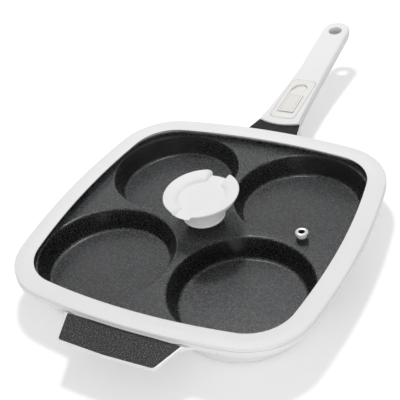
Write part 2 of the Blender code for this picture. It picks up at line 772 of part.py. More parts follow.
def handle_half(along):
    """Half width at a distance behind the handle's front: wide mouth, slim neck."""
    share = min(along / HANDLE_NECK_START, 1.0)
    return HANDLE_NECK_HALF + (HANDLE_FRONT_HALF - HANDLE_NECK_HALF) * (1.0 - share) ** HANDLE_TAPER


def handle_stations(start, end, inset):
    """Points (x, y) and outward normals of the handle's right outline.

    Up to the end circle the stations are even; round it they follow its angle. With
    an end short of the circle the outline just stops there.
    """
    circle = HANDLE_LENGTH - HANDLE_END_RADIUS
    straight_end = min(end, circle)
    steps = round((straight_end - start) / circle * HANDLE_STEPS)
    small = (straight_end - start) / (20.0 * steps)
    stations = []
    for index in range(steps + 1):
        along = start + (straight_end - start) * index / steps
        slope = (handle_half(along + small) - handle_half(along - small)) / (2.0 * small)
        normal = Vector((1.0, -slope)).normalized() if index > 0 else Vector((1.0, 0.0))
        on_circle = index == steps and end > circle
        half = HANDLE_END_RADIUS if on_circle else handle_half(along)
        stations.append((Vector((half, HANDLE_Y + along)), normal))
    if end > circle:
        for index in range(1, HANDLE_END_STEPS + 1):
            angle = math.pi / 2.0 * index / HANDLE_END_STEPS
            normal = Vector((math.cos(angle), math.sin(angle)))
            stations.append((Vector((0.0, HANDLE_Y + circle)) + normal * HANDLE_END_RADIUS, normal))
    return [(point - normal * inset, normal) for point, normal in stations]


def handle_solid(start, end, contour, inset=0.0):
    """Skin over the handle's stations; contour lists (inset, depth below the top)."""
    rings = []
    for point, normal in handle_stations(start, end, inset):
        right = []
        for pull, depth in contour:
            place = point - normal * pull
            right.append((max(place.x, 0.0), place.y, handle_top(point.y) - depth))
        left = [(-x, y, z) for x, y, z in reversed(right)]
        rings.append(right + left)
    return skin(rings)


def quarter_round(radius, steps):
    """(inset, rise) pairs of a quarter circle, from upright to level."""
    return [(radius + x, z) for x, z in arc((0.0, 0.0), radius, 180.0, 90.0, steps)]


def upper_contour():
    """Right half of the upper shell's section, from the split up to the top edge."""
    edge = quarter_round(HANDLE_TOP_ROUND, 4)
    return [(0.0, SPLIT_DEPTH)] + [(x, HANDLE_TOP_ROUND - z) for x, z in edge]


def lower_contour():
    """Right half of the lower shell's section, from the split down to the bottom."""
    straight = HANDLE_THICKNESS - HANDLE_BOTTOM_ROUND
    edge = quarter_round(HANDLE_BOTTOM_ROUND, 5)
    return [(0.0, SPLIT_DEPTH + GAP)] + [(HANDLE_DRAFT + x, straight + z) for x, z in edge]


def cavity_contour():
    """Right half of the hollow's section, from its floor to its roof."""
    low = HANDLE_THICKNESS - SHELL_BOTTOM_WALL
    return [
        (HANDLE_DRAFT + CAVITY_CHAMFER, low),
        (HANDLE_DRAFT, low - 2.0 * CAVITY_CHAMFER),
        (0.0, SPLIT_DEPTH + OVERLAP),
        (0.0, SHELL_TOP_WALL + OVERLAP),
        (OVERLAP, SHELL_TOP_WALL),
    ]


def column(radius, bottom, top, steps=16):
    """A round bar between two heights."""
    return turned([(0.0, bottom), (radius, bottom), (radius, top), (0.0, top)], steps=steps)


def trim_front(upper, parent):
    """Gives the upper shell its bowed front lip, which lies over the bracket."""
    lip_front = HANDLE_Y - LIP_REACH
    back = lip_front - HANDLE_FRONT_HALF
    bow_radius = (HANDLE_FRONT_HALF ** 2 + LIP_BOW ** 2) / (2.0 * LIP_BOW)
    spread = math.degrees(math.asin(1.25 * HANDLE_FRONT_HALF / bow_radius))
    bow = arc((0.0, lip_front + bow_radius), bow_radius, spread - 90.0, -spread - 90.0, 14)
    outline = bow + [(bow[-1][0], back), (bow[0][0], back)]
    cut(upper, add_object(
        "lip_trim_cutter", prism(outline, -HANDLE_THICKNESS, HANDLE_THICKNESS), None, parent))
    step = block(
        (-1.5 * HANDLE_FRONT_HALF, back, -HANDLE_THICKNESS),
        (1.5 * HANDLE_FRONT_HALF, HANDLE_Y, BRACKET_TOP + GAP))
    cut(upper, add_object("lip_step_cutter", step, None, parent))


def add_case_screw(name, x, y, upper, lower, steel, parent):
    """One screw from below, with its counterbore, its bosses and its pilot hole."""
    place = (x, y, 0.0)
    top = handle_top(y)
    floor = top - HANDLE_THICKNESS
    split = top - SPLIT_DEPTH
    seat = floor + CASE_SEAT
    tip = split + CASE_SCREW_BITE
    for target, operation, label, radius, low, high in (
            (upper, join, "boss_upper_", BOSS_RADIUS, split + GAP, top - SHELL_TOP_WALL + OVERLAP / 2.0),
            (upper, cut, "pilot_upper_", PILOT_RADIUS, split - OVERLAP, tip + GAP),
            (lower, join, "boss_lower_", BOSS_RADIUS, floor + SHELL_BOTTOM_WALL - GAP, split - 2.0 * GAP),
            (lower, cut, "bore_lower_", PILOT_RADIUS, floor, split + OVERLAP),
            (lower, cut, "counterbore_", CASE_HEAD_RADIUS + GAP, floor - 4.0 * OVERLAP, seat)):
        operation(target, add_object(label + name, column(radius, low, high), None, parent, place))
    head_top = seat - GAP
    head_low = head_top - CASE_HEAD_HEIGHT
    add_object(name, turned([
        (0.0, head_low),
        (0.75 * CASE_HEAD_RADIUS, head_low),
        (CASE_HEAD_RADIUS, (head_low + head_top) / 2.0),
        (CASE_HEAD_RADIUS, head_top),
        (CASE_SCREW_RADIUS, head_top),
        (CASE_SCREW_RADIUS, tip),
        (0.0, tip),
    ], steps=16), steel, parent, place)


def make_shells(parent, plastic, steel):
    """Upper and lower shell of the handle, with bosses, screws and hanging hole."""
    start = -1.6 * LIP_REACH
    upper = add_object(
        "handle_upper_shell", handle_solid(start, HANDLE_LENGTH, upper_contour()), plastic, parent)
    lower = add_object(
        "handle_lower_shell", handle_solid(0.0, HANDLE_LENGTH, lower_contour()), plastic, parent)
    trim_front(upper, parent)
    cavity = add_object("cavity_cutter", handle_solid(
        SHELL_FRONT_WALL, CAVITY_LENGTH, cavity_contour(), SHELL_SIDE_WALL), None, parent)
    mouth = add_object("mouth_cutter", block(
        (-SLEEVE_HALF - GAP, HANDLE_Y - OVERLAP, SLEEVE_BOTTOM - GAP),
        (SLEEVE_HALF + GAP, HANDLE_Y + SHELL_FRONT_WALL + OVERLAP, SLEEVE_TOP + GAP)), None, parent)
    for shell in (upper, lower):
        cut(shell, cavity)
        cut(shell, mouth)
    front = HANDLE_Y + FRONT_SCREW_OFFSET
    for name, x, y in (
            ("handle_screw_front_left", -FRONT_SCREW_HALF, front),
            ("handle_screw_front_right", FRONT_SCREW_HALF, front),
            ("handle_screw_rear", 0.0, HANDLE_Y + REAR_SCREW_OFFSET)):
        add_case_screw(name, x, y, upper, lower, steel, parent)

    hole_y = HANDLE_END - HANG_HOLE_INSET
    flare = HANG_HOLE_RADIUS + HANG_HOLE_FLARE
    hole = add_object("hang_hole_cutter", turned([
        (0.0, HANDLE_THICKNESS),
        (flare, HANDLE_THICKNESS),
        (flare, 0.0),
        (HANG_HOLE_RADIUS, -2.0 * HANG_HOLE_FLARE),
        (HANG_HOLE_RADIUS, 2.0 * HANG_HOLE_FLARE - HANDLE_THICKNESS),
        (flare, -HANDLE_THICKNESS),
        (flare, -2.0 * HANDLE_THICKNESS),
        (0.0, -2.0 * HANDLE_THICKNESS),
    ], steps=24), None, parent, (0.0, hole_y, handle_top(hole_y)))
    hole.rotation_euler.x = math.atan(HANDLE_RISE_END)
    for shell in (upper, lower):
        cut(shell, hole)
    return upper, lower


def bezel_plate(half, length, corner):
    """Outline of a rounded rectangle about the middle of the bezel."""
    middle = BEZEL_OFFSET + BEZEL_LENGTH / 2.0
    end = length / 2.0
    return rounded([
        (half, middle - end, corner),
        (half, middle + end, corner),
        (-half, middle + end, corner),
        (-half, middle - end, corner),
    ])


def make_latch(parent, upper, lower, cream, steel):
    """Bezel, slider and carriage in the tilt of the handle's top."""
    tilted = add_empty("latch_frame", (0.0, HANDLE_Y, HANDLE_FRONT_TOP), parent, LATCH_TILT)
    above = BEZEL_PROUD + 2.0 * OVERLAP
    bezel_low = BEZEL_PROUD - BEZEL_THICKNESS
    pocket = prism(
        bezel_plate(BEZEL_HALF + GAP, BEZEL_LENGTH + 2.0 * GAP, BEZEL_CORNER), bezel_low - GAP, above)
    cut(upper, add_object("bezel_pocket_cutter", pocket, None, tilted))
    window = prism(
        bezel_plate(BEZEL_HALF - BEZEL_LEDGE, BEZEL_LENGTH - 4.0 * BEZEL_LEDGE, BEZEL_CORNER / 2.0),
        -SHELL_TOP_WALL - 2.0 * OVERLAP, above)
    cut(upper, add_object("bezel_window_cutter", window, None, tilted))

    bezel = add_object("latch_bezel", prism(
        bezel_plate(BEZEL_HALF, BEZEL_LENGTH, BEZEL_CORNER), bezel_low, BEZEL_PROUD), cream, tilted)
    recess_floor = BEZEL_PROUD - RECESS_DEPTH
    slider_front = RECESS_OFFSET + GAP
    slider_end = slider_front + SLIDER_LENGTH
    arch = arc((0.0, slider_end + ARCH_ROOM), RECESS_HALF, 0.0, 180.0, 12)
    tombstone = [(RECESS_HALF, RECESS_OFFSET)] + arch + [(-RECESS_HALF, RECESS_OFFSET)]
    cut(bezel, add_object("recess_cutter", prism(tombstone, recess_floor, above), None, tilted))
    stem_front = RECESS_OFFSET + STEM_OFFSET
    stem_end = stem_front + STEM_LENGTH
    slot = block(
        (-STEM_HALF - GAP, stem_front - GAP, bezel_low - OVERLAP),
        (STEM_HALF + GAP, stem_end + SLIDER_TRAVEL + 2.0 * GAP, recess_floor + OVERLAP))
    cut(bezel, add_object("stem_slot_cutter", slot, None, tilted))

    half = RECESS_HALF - GAP
    slider_low = recess_floor + GAP
    slider_top = BEZEL_PROUD + SLIDER_PROUD
    slider = add_object("latch_slider", block(
        (-half, slider_front, slider_low), (half, slider_end, slider_top)), cream, tilted)
    seat_half = half - SLIDER_PLATE_MARGIN
    seat_front = slider_front + SLIDER_PLATE_MARGIN
    seat_end = slider_end - SLIDER_PLATE_MARGIN
    seat_floor = slider_top - SLIDER_PLATE_THICKNESS - GAP
    cut(slider, add_object("plate_seat_cutter", block(
        (-seat_half, seat_front, seat_floor), (seat_half, seat_end, slider_top + OVERLAP)), None, tilted))
    add_object("slider_plate", block(
        (GAP - seat_half, seat_front + GAP, seat_floor + GAP / 2.0),
        (seat_half - GAP, seat_end - GAP, slider_top)), cream, tilted)
    join(slider, add_object("stem_guide", block(
        (-STEM_HALF, stem_front, CARRIAGE_TOP + GAP),
        (STEM_HALF, stem_end, slider_low + OVERLAP / 4.0)), None, tilted))

    screw_place = (0.0, (stem_front + stem_end) / 2.0, 0.0)
    screw_top = slider_low - GAP
    cut(slider, add_object("stem_bore_cutter", column(
        CARRIAGE_SCREW_SHANK + GAP, CARRIAGE_TOP, screw_top + GAP), None, tilted, screw_place))
    nose_centre = make_carriage(tilted, screw_place, screw_top, cream, steel)
    make_pawl(parent, lower, steel, nose_centre)


def make_carriage(tilted, screw_place, screw_top, cream, steel):
    """Plate under the slider with its screw, and the nose that works the pawl."""
    nose_y = PAWL_PIVOT_OFFSET + NOSE_BEHIND_PIVOT
    nose_end = nose_y + NOSE_RADIUS
    carriage = add_object("latch_carriage", block(
        (-CARRIAGE_HALF, nose_end - CARRIAGE_LENGTH, CARRIAGE_LOW),
        (CARRIAGE_HALF, nose_end, CARRIAGE_TOP)), cream, tilted)
    nose_centre = (nose_y, CARRIAGE_LOW - NOSE_DROP + NOSE_RADIUS)
    nose_top = CARRIAGE_LOW + CARRIAGE_THICKNESS / 2.0
    nose = [(nose_end, nose_top)] + arc(nose_centre, NOSE_RADIUS, 0.0, -180.0, 6)
    nose.append((nose_y - NOSE_RADIUS, nose_top))
    join(carriage, add_object("nose_guide", side_prism(nose, NOSE_HALF), None, tilted))
    seat = CARRIAGE_LOW + 0.4 * CARRIAGE_THICKNESS
    for name, radius, high in (
            ("carriage_bore_cutter", CARRIAGE_SCREW_SHANK, CARRIAGE_TOP + OVERLAP),
            ("carriage_counterbore_cutter", CARRIAGE_SCREW_HEAD, seat)):
        hole = column(radius + GAP, CARRIAGE_LOW - OVERLAP, high)
        cut(carriage, add_object(name, hole, None, tilted, screw_place))
    head_top = seat - GAP
    head_low = head_top - CARRIAGE_HEAD_HEIGHT
    add_object("carriage_screw", turned([
        (0.0, screw_top),
        (CARRIAGE_SCREW_SHANK, screw_top),
        (CARRIAGE_SCREW_SHANK, head_top),
        (CARRIAGE_SCREW_HEAD, head_top),
        (0.8 * CARRIAGE_SCREW_HEAD, head_low),
        (0.0, head_low),
    ], steps=14), steel, tilted, screw_place)
    return nose_centre


def ramp_points(nose_centre):
    """Top line of the pawl's tail, in the pawl's own frame.

    It is the line that the carriage's nose draws on the turning pawl: for each share
    of the travel the nose's middle is turned back by the pawl's angle, and the tail's
    top stays one nose radius and a gap below it.
    """
    tilt = Matrix.Rotation(LATCH_TILT, 2)
    pivot = Vector((PIVOT_Y, PIVOT_Z))
    path = []
    for index in range(RAMP_STEPS + 1):
        share = index / RAMP_STEPS
        nose = Vector((HANDLE_Y, HANDLE_FRONT_TOP)) + tilt @ Vector(
            (nose_centre[0] + share * SLIDER_TRAVEL, nose_centre[1]))
        path.append(Matrix.Rotation(share * PAWL_LIFT, 2) @ (nose - pivot))
    ramp = []
    for index, point in enumerate(path):
        ahead = path[min(index + 1, RAMP_STEPS)] - path[max(index - 1, 0)]
        below = Vector((ahead.y, -ahead.x)).normalized()
        ramp.append(tuple(point + below * (NOSE_RADIUS + GAP)))
    return ramp


def pawl_outline(nose_centre):
    """Side view of the pawl about its pin: hook, arm, hub and the ramp of its tail."""
    thick = PAWL_THICKNESS / 2.0
    hook_back = SLOT_END - HOOK_PLAY - PIVOT_Y
    hook_front = hook_back - HOOK_LENGTH
    hook_tip = TONGUE_TOP - HOOK_BITE - PIVOT_Z
    lean = math.degrees(math.asin(thick / PAWL_HUB))
    ramp = ramp_points(nose_centre)
    outline = [
        (-PAWL_HUB * math.cos(math.radians(lean)), -thick),
        (hook_back, -thick),
        (hook_back, hook_tip),
        (hook_front + HOOK_PLAY, hook_tip),
        (hook_front, hook_tip + HOOK_PLAY),
        (hook_front, thick),
    ]
    outline += arc((0.0, 0.0), PAWL_HUB, 180.0 - lean, 50.0, 5)
    outline += ramp
    outline += [
        (PAWL_TAIL, ramp[-1][1]),
        (PAWL_TAIL, PAWL_TAIL_UNDER),
        (0.6 * PAWL_TAIL, PAWL_TAIL_UNDER),
    ]
    outline += arc((0.0, 0.0), PAWL_HUB, -45.0, lean - 180.0, 5)[:-1]
    return outline


def make_pawl(parent, lower, steel, nose_centre):
    """Pawl on its pin, the ears that hold the pin, the return spring and the sleeve."""
    pivot = add_empty("pawl_pivot", (0.0, PIVOT_Y, PIVOT_Z), parent)
    pawl = add_object("latch_pawl", side_prism(pawl_outline(nose_centre), PAWL_HALF), steel, pivot)
    last = 360.0 - 360.0 / PIN_STEPS
    bore = add_object("pin_bore_cutter", side_prism(
        arc((0.0, 0.0), PIN_RADIUS + GAP, 0.0, last, PIN_STEPS - 1),
        PAWL_HALF + EAR_WIDTH + OVERLAP), None, pivot)
    cut(pawl, bore)
    ear_inner = PAWL_HALF + GAP
    ear_outer = ear_inner + EAR_WIDTH
    add_object("pawl_pin", side_prism(
        arc((0.0, 0.0), PIN_RADIUS, 0.0, last, PIN_STEPS - 1), ear_outer - GAP), steel, pivot)

    floor = handle_top(PIVOT_Y) - HANDLE_THICKNESS + SHELL_BOTTOM_WALL / 2.0 - PIVOT_Z
    ear = arc((0.0, 0.0), EAR_RADIUS, 180.0, 0.0, 8)
    ear = [(-EAR_SPREAD * EAR_RADIUS, floor)] + ear + [(EAR_SPREAD * EAR_RADIUS, floor)]
    for name, low, high in (("left", -ear_outer, -ear_inner), ("right", ear_inner, ear_outer)):
        guide = skin([[(low, y, z) for y, z in ear], [(high, y, z) for y, z in ear]])
        join(lower, add_object("ear_guide_" + name, guide, None, pivot))
    cut(lower, bore)
    make_spring(parent, lower, steel)
    make_sleeve(parent, lower, steel)


def make_spring(parent, lower, steel):
    """Coil spring under the pawl's tail, on a pad and round a post of the lower shell."""
    y = PIVOT_Y + SPRING_BEHIND_PIVOT
    place = (0.0, y, 0.0)
    shell_floor = handle_top(y) - HANDLE_THICKNESS + SHELL_BOTTOM_WALL
    root = shell_floor - SHELL_BOTTOM_WALL / 2.0
    pad_top = shell_floor + GAP
    join(lower, add_object("spring_pad_guide", column(SPRING_PAD, root, pad_top, 20), None, parent, place))
    join(lower, add_object(
        "spring_post_guide", column(SPRING_POST, root, pad_top + SPRING_POST_HEIGHT, 12), None, parent, place))
    start = pad_top + GAP + SPRING_WIRE
    end = PIVOT_Z + PAWL_TAIL_UNDER - GAP - SPRING_WIRE
    section = arc((0.0, 0.0), SPRING_WIRE, 0.0, 288.0, 4)
    rings = []
    for index in range(SPRING_TURNS * SPRING_STEPS + 1):
        angle = 2.0 * math.pi * index / SPRING_STEPS
        height = start + (end - start) * index / (SPRING_TURNS * SPRING_STEPS)
        rings.append([
            (math.cos(angle) * (SPRING_RADIUS + a), math.sin(angle) * (SPRING_RADIUS + a), height + b)
            for a, b in section])
    add_object("latch_spring", skin(rings), steel, parent, place)


def make_sleeve(parent, lower, steel):
    """Steel box that guides the tongue, with a window for the hook, on a rib."""
    front = HANDLE_Y + SLEEVE_WALL
    end = front + SLEEVE_LENGTH
    sleeve = add_object("socket_sleeve", block(
        (-SLEEVE_HALF, front, SLEEVE_BOTTOM), (SLEEVE_HALF, end, SLEEVE_TOP)), steel, parent)
    bore_half = TONGUE_HALF + GAP
    cut(sleeve, add_object("sleeve_bore_cutter", block(
        (-bore_half, front - OVERLAP, TONGUE_BOTTOM - GAP),
        (bore_half, end + OVERLAP, TONGUE_TOP + GAP)), None, parent))
    cut(sleeve, add_object("sleeve_window_cutter", block(
        (-TONGUE_SLOT_HALF, SLOT_START - HOOK_PLAY, TONGUE_TOP),
        (TONGUE_SLOT_HALF, SLOT_END + HOOK_PLAY, SLEEVE_TOP + OVERLAP)), None, parent))
    rib_y = HANDLE_Y + SLEEVE_RIB_OFFSET
    root = handle_top(rib_y) - HANDLE_THICKNESS + SHELL_BOTTOM_WALL / 2.0
    join(lower, add_object("sleeve_rib_guide", block(
        (-SLEEVE_HALF, rib_y, root),
        (SLEEVE_HALF, rib_y + SLEEVE_RIB_WIDTH, SLEEVE_BOTTOM - GAP)), None, parent))


def build():
    """Makes the whole pan."""
    clear_scene()
    coating = make_material("pan_coating", (0.80, 0.80, 0.79), 0.45)
    steel = make_material("bare_steel", (0.62, 0.62, 0.62), 0.3, 1.0)
    glass = make_material("lid_glass", (0.95, 0.97, 0.97), 0.05, 0.0, 0.3)
    silicone = make_material("white_silicone", (0.82, 0.82, 0.82), 0.55)
    plastic = make_material("white_plastic", (0.84, 0.84, 0.84), 0.4)
    cream = make_material("cream_plastic", (0.82, 0.80, 0.74), 0.45)
    brass = make_material("brass", (0.75, 0.58, 0.28), 0.35, 1.0)

    pan_frame = add_empty("pan_frame", (0.0, -(TAB_END + HANDLE_END) / 2.0, -FOOT_Z))
    lid_frame = add_empty("lid_frame", (0.0, 0.0, 0.0), pan_frame)
    handle_frame = add_empty("handle_frame", (0.0, 0.0, 0.0), pan_frame)
    make_pan(pan_frame, coating, steel)
    make_lid(lid_frame, glass, silicone, steel)
    make_knob(lid_frame, plastic, silicone, steel, brass)
    upper, lower = make_shells(handle_frame, plastic, steel)
    make_latch(handle_frame, upper, lower, cream, steel)


build()
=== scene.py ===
# %% [markdown]
# # Egg pan with four wells
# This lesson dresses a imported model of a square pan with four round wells, a glass
# lid and a handle that pulls off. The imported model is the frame: it says where each
# solid sits and how it moves. Every visible surface is then worked out again as a
# finer mesh, laid on the same sizes, and given a finish made of shader nodes.

import bmesh
import bpy
import numpy as np
from mathutils import Matrix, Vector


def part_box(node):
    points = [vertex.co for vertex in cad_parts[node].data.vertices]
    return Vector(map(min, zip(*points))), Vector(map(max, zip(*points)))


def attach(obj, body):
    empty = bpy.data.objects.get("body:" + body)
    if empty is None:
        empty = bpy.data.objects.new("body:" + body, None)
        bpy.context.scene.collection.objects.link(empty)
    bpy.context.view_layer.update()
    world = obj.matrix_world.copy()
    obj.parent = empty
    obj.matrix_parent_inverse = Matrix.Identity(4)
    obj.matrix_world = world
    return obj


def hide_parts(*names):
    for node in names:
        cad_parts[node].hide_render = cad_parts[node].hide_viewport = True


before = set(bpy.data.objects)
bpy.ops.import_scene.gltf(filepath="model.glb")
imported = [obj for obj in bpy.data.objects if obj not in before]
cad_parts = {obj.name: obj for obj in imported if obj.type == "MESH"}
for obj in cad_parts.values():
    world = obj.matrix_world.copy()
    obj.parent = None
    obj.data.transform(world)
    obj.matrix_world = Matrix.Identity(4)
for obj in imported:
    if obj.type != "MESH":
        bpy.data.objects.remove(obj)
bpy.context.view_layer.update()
print("parts in the frame:", len(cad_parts))

# %% [markdown]
# ## Where everything is measured from
# All shapes below are written in millimetres, counted from the middle of the deck,
# the flat top between the wells: x to the right, y towards the handle, z up. The
# middle of the lid's ring gives that point in the frame, and the feet stand 28 mm
# below the deck. Keeping one such origin means that no piece has to be fitted.

# %% Origin of the shapes
MM = 0.001
DECK_HEIGHT = 28.0
ring_low, ring_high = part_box("lid_rim")
DECK_MIDDLE = np.array([0.0, (ring_low.y + ring_high.y) / 2.0 / MM, DECK_HEIGHT])
print("deck middle in the frame, mm:", DECK_MIDDLE.round(2))

# %% [markdown]
# ## From grids of points to pieces
# A surface is an array of points in rows and columns. Neighbouring points make the
# quads, and a row that shrinks to one point becomes a pole once doubles are merged.
# One helper turns such grids into a piece, sets smooth shading with sharp creases,
# gives it its finish, and lets it ride on a body of the frame.

# %% Piece helper
CREASE = np.radians(32.0)


def quads(rows, columns, wrap_rows, wrap_columns):
    """Corner numbers of the quads: each point with its neighbour one row and one column on."""
    index = np.arange(rows * columns).reshape(rows, columns)
    if wrap_columns:
        index = np.concatenate([index, index[:, :1]], axis=1)
    if wrap_rows:
        index = np.concatenate([index, index[:1]], axis=0)
    corners = [index[:-1, :-1], index[1:, :-1], index[1:, 1:], index[:-1, 1:]]
    return np.stack(corners, axis=-1).reshape(-1, 4)


def grid(points, wrap_rows=False, wrap_columns=True, turned=False):
    """A grid of points in mm with its quads; turned makes its faces look the other way."""
    faces = quads(points.shape[0], points.shape[1], wrap_rows, wrap_columns)
    return points.reshape(-1, 3), faces[:, ::-1] if turned else faces


def level(line, height):
    """The points of a flat line lifted to one height, or each to its own."""
    return np.column_stack([line, np.broadcast_to(height, len(line))])


def piece(name, grids, finish, body, replaces=(), slot=None, wall=0.0):
    """One mesh of several grids on a body. With a wall the skin gets that thickness, else it is closed."""
    points = np.concatenate([part[0] for part in grids])
    starts = np.cumsum([0] + [len(part[0]) for part in grids[:-1]])
    faces = np.concatenate([part[1] + start for part, start in zip(grids, starts)])
    mesh = bpy.data.meshes.new(name)
    mesh.from_pydata((points + DECK_MIDDLE) * MM, [], faces.tolist())
    shape = bmesh.new()
    shape.from_mesh(mesh)
    bmesh.ops.remove_doubles(shape, verts=shape.verts, dist=0.002 * MM)
    if not wall:
        bmesh.ops.recalc_face_normals(shape, faces=shape.faces)
    shape.to_mesh(mesh)
    shape.free()
    mesh.shade_smooth()
    mesh.set_sharp_from_angle(angle=CREASE)
    mesh.materials.append(finish)
    thing = bpy.data.objects.new(name, mesh)
    bpy.context.scene.collection.objects.link(thing)
    if wall:
        skin = thing.modifiers.new("wall", "SOLIDIFY")
        skin.thickness = wall * MM
        skin.offset = -1.0
        skin.use_even_offset = False
    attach(thing, body)
    for node in replaces:
        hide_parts(node)
    print(name, "has", len(mesh.polygons), "faces")


def casting(name, grids, finish, wall=0.0):
    """A piece of the pan's casting, which the frame holds as the one node pan_body."""
    piece(name, grids, finish, "pan", ["pan_body"], "pan_coating", wall)


# %% [markdown]
# ## Profiles
# Nearly every shape here starts as a line of a few corners, some of them rounded.
# The first helper replaces a corner by the arc that touches both its sides, so the
# corners read like sizes on a drawing. The others add points along a line, give the
# quarter turn of a rounded edge, and ease a value from 0 to 1.

# %% Rounded profiles
def rounded(corners, steps=6, closed=False):
    """Line through (a, b, radius) corners, a radius replacing its corner by a touching arc.

    With half the angle between the two sides called h, the arc's middle lies
    radius / sin(h) from the corner on the line that halves the angle, and the arc
    leaves the sides radius / tan(h) from the corner.
    """
    line = []
    count = len(corners)
    for index, corner in enumerate(corners):
        here, radius = np.array(corner[:2], float), corner[2]
        inner = closed or 0 < index < count - 1
        if not radius or not inner:
            line.append(here[None])
            continue
        back = np.array(corners[index - 1][:2]) - here
        ahead = np.array(corners[(index + 1) % count][:2]) - here
        back, ahead = back / np.hypot(*back), ahead / np.hypot(*ahead)
        half = np.arccos(np.clip(back @ ahead, -1.0, 1.0)) / 2.0
        middle = here + (back + ahead) / np.hypot(*(back + ahead)) * radius / np.sin(half)
        first = here + back * radius / np.tan(half) - middle
        last = here + ahead * radius / np.tan(half) - middle
        sweep = np.pi - 2.0 * half
        share = np.linspace(0.0, 1.0, steps + 1)[:, None]
        arc = first * np.sin((1 - share) * sweep) + last * np.sin(share * sweep)
        line.append(middle + arc / np.sin(sweep))
    return np.concatenate(line)


def spread(line, gap):
    """The same line with points added so that no step is longer than the gap."""
    parts = []
    for start, end in zip(line[:-1], line[1:]):
        steps = max(int(np.ceil(np.hypot(*(end - start)) / gap)), 1)
        parts.append(start + (end - start) * np.linspace(0.0, 1.0, steps, endpoint=False)[:, None])
    return np.concatenate(parts + [line[-1:]])


def edge_turn(radius, count):
    """Pairs (moved in, sunk) round an edge: radius (1 - cos a), radius (1 - sin a), a from 0 to 90 degrees."""
    turns = np.linspace(0.0, np.pi / 2.0, count)
    return [(radius * (1.0 - np.cos(turn)), radius * (1.0 - np.sin(turn))) for turn in turns]


def smooth(share):
    """Eased share: its square times three less twice the share."""
    return share ** 2 * (3.0 - 2.0 * share)


# %% [markdown]
# ## Shader helpers
# A finish is a Principled surface whose colour, roughness and bump vary a little in
# small patterns on Object coordinates, which stay put when the piece moves. The
# helpers make the nodes that all finishes share: a pattern of a given grain size in
# millimetres, a ramp between values, a bump of a given height, and a test of what
# kind of light ray is asking.

# %% Shader helpers
def finish(name, **values):
    """A new material with its Principled sockets set from the given values."""
    material = bpy.data.materials.new(name)
    material.use_nodes = True
    shader = material.node_tree.nodes["Principled BSDF"]
    for socket, value in values.items():
        shader.inputs[socket.replace("_", " ")].default_value = value
    return material, material.node_tree, shader


def node(tree, kind, **settings):
    """A new node with its own settings."""
    made = tree.nodes.new(kind)
    for key, value in settings.items():
        setattr(made, key, value)
    return made


def grain(tree, size, detail=2.0, roughness=0.5, stretch=(1.0, 1.0, 1.0)):
    """Noise whose blotches are about that many millimetres wide; its Fac output."""
    place = node(tree, "ShaderNodeTexCoord")
    mapping = node(tree, "ShaderNodeMapping")
    mapping.inputs["Scale"].default_value = stretch
    noise = node(tree, "ShaderNodeTexNoise")
    noise.inputs["Scale"].default_value = 1.0 / (size * MM)
    noise.inputs["Detail"].default_value = detail
    noise.inputs["Roughness"].default_value = roughness
    tree.links.new(place.outputs["Object"], mapping.inputs["Vector"])
    tree.links.new(mapping.outputs["Vector"], noise.inputs["Vector"])
    return noise.outputs["Fac"]


def ramp(tree, value, stops):
    """Colours or greys at places along the incoming value."""
    made = node(tree, "ShaderNodeValToRGB")
    elements = made.color_ramp.elements
    for index, (place, colour) in enumerate(stops):
        element = elements[index] if index < 2 else elements.new(place)
        element.position = place
        element.color = (*colour, 1.0) if isinstance(colour, tuple) else (colour, colour, colour, 1.0)
    tree.links.new(value, made.inputs["Fac"])
    return made.outputs["Color"]


def swing(tree, shader, socket, value, low, high):
    """A shader's socket goes from low to high as the incoming value goes from 0.3 to 0.7."""
    tree.links.new(ramp(tree, value, [(0.3, low), (0.7, high)]), shader.inputs[socket])


def bump(tree, shader, height, depth, strength):
    """Raises the surface by the depth in millimetres where the height is 1."""
    made = node(tree, "ShaderNodeBump")
    made.inputs["Distance"].default_value = depth * MM
    made.inputs["Strength"].default_value = strength
    tree.links.new(height, made.inputs["Height"])
    tree.links.new(made.outputs["Normal"], shader.inputs["Normal"])


def any_ray(tree, *kinds):
    """1 for a ray of any of these kinds, else 0: the largest of the Light Path's answers."""
    path = node(tree, "ShaderNodeLightPath")
    answer = path.outputs[kinds[0]]
    for kind in kinds[1:]:
        larger = node(tree, "ShaderNodeMath", operation="MAXIMUM")
        tree.links.new(answer, larger.inputs[0])
        tree.links.new(path.outputs[kind], larger.inputs[1])
        answer = larger.outputs["Value"]
    return answer
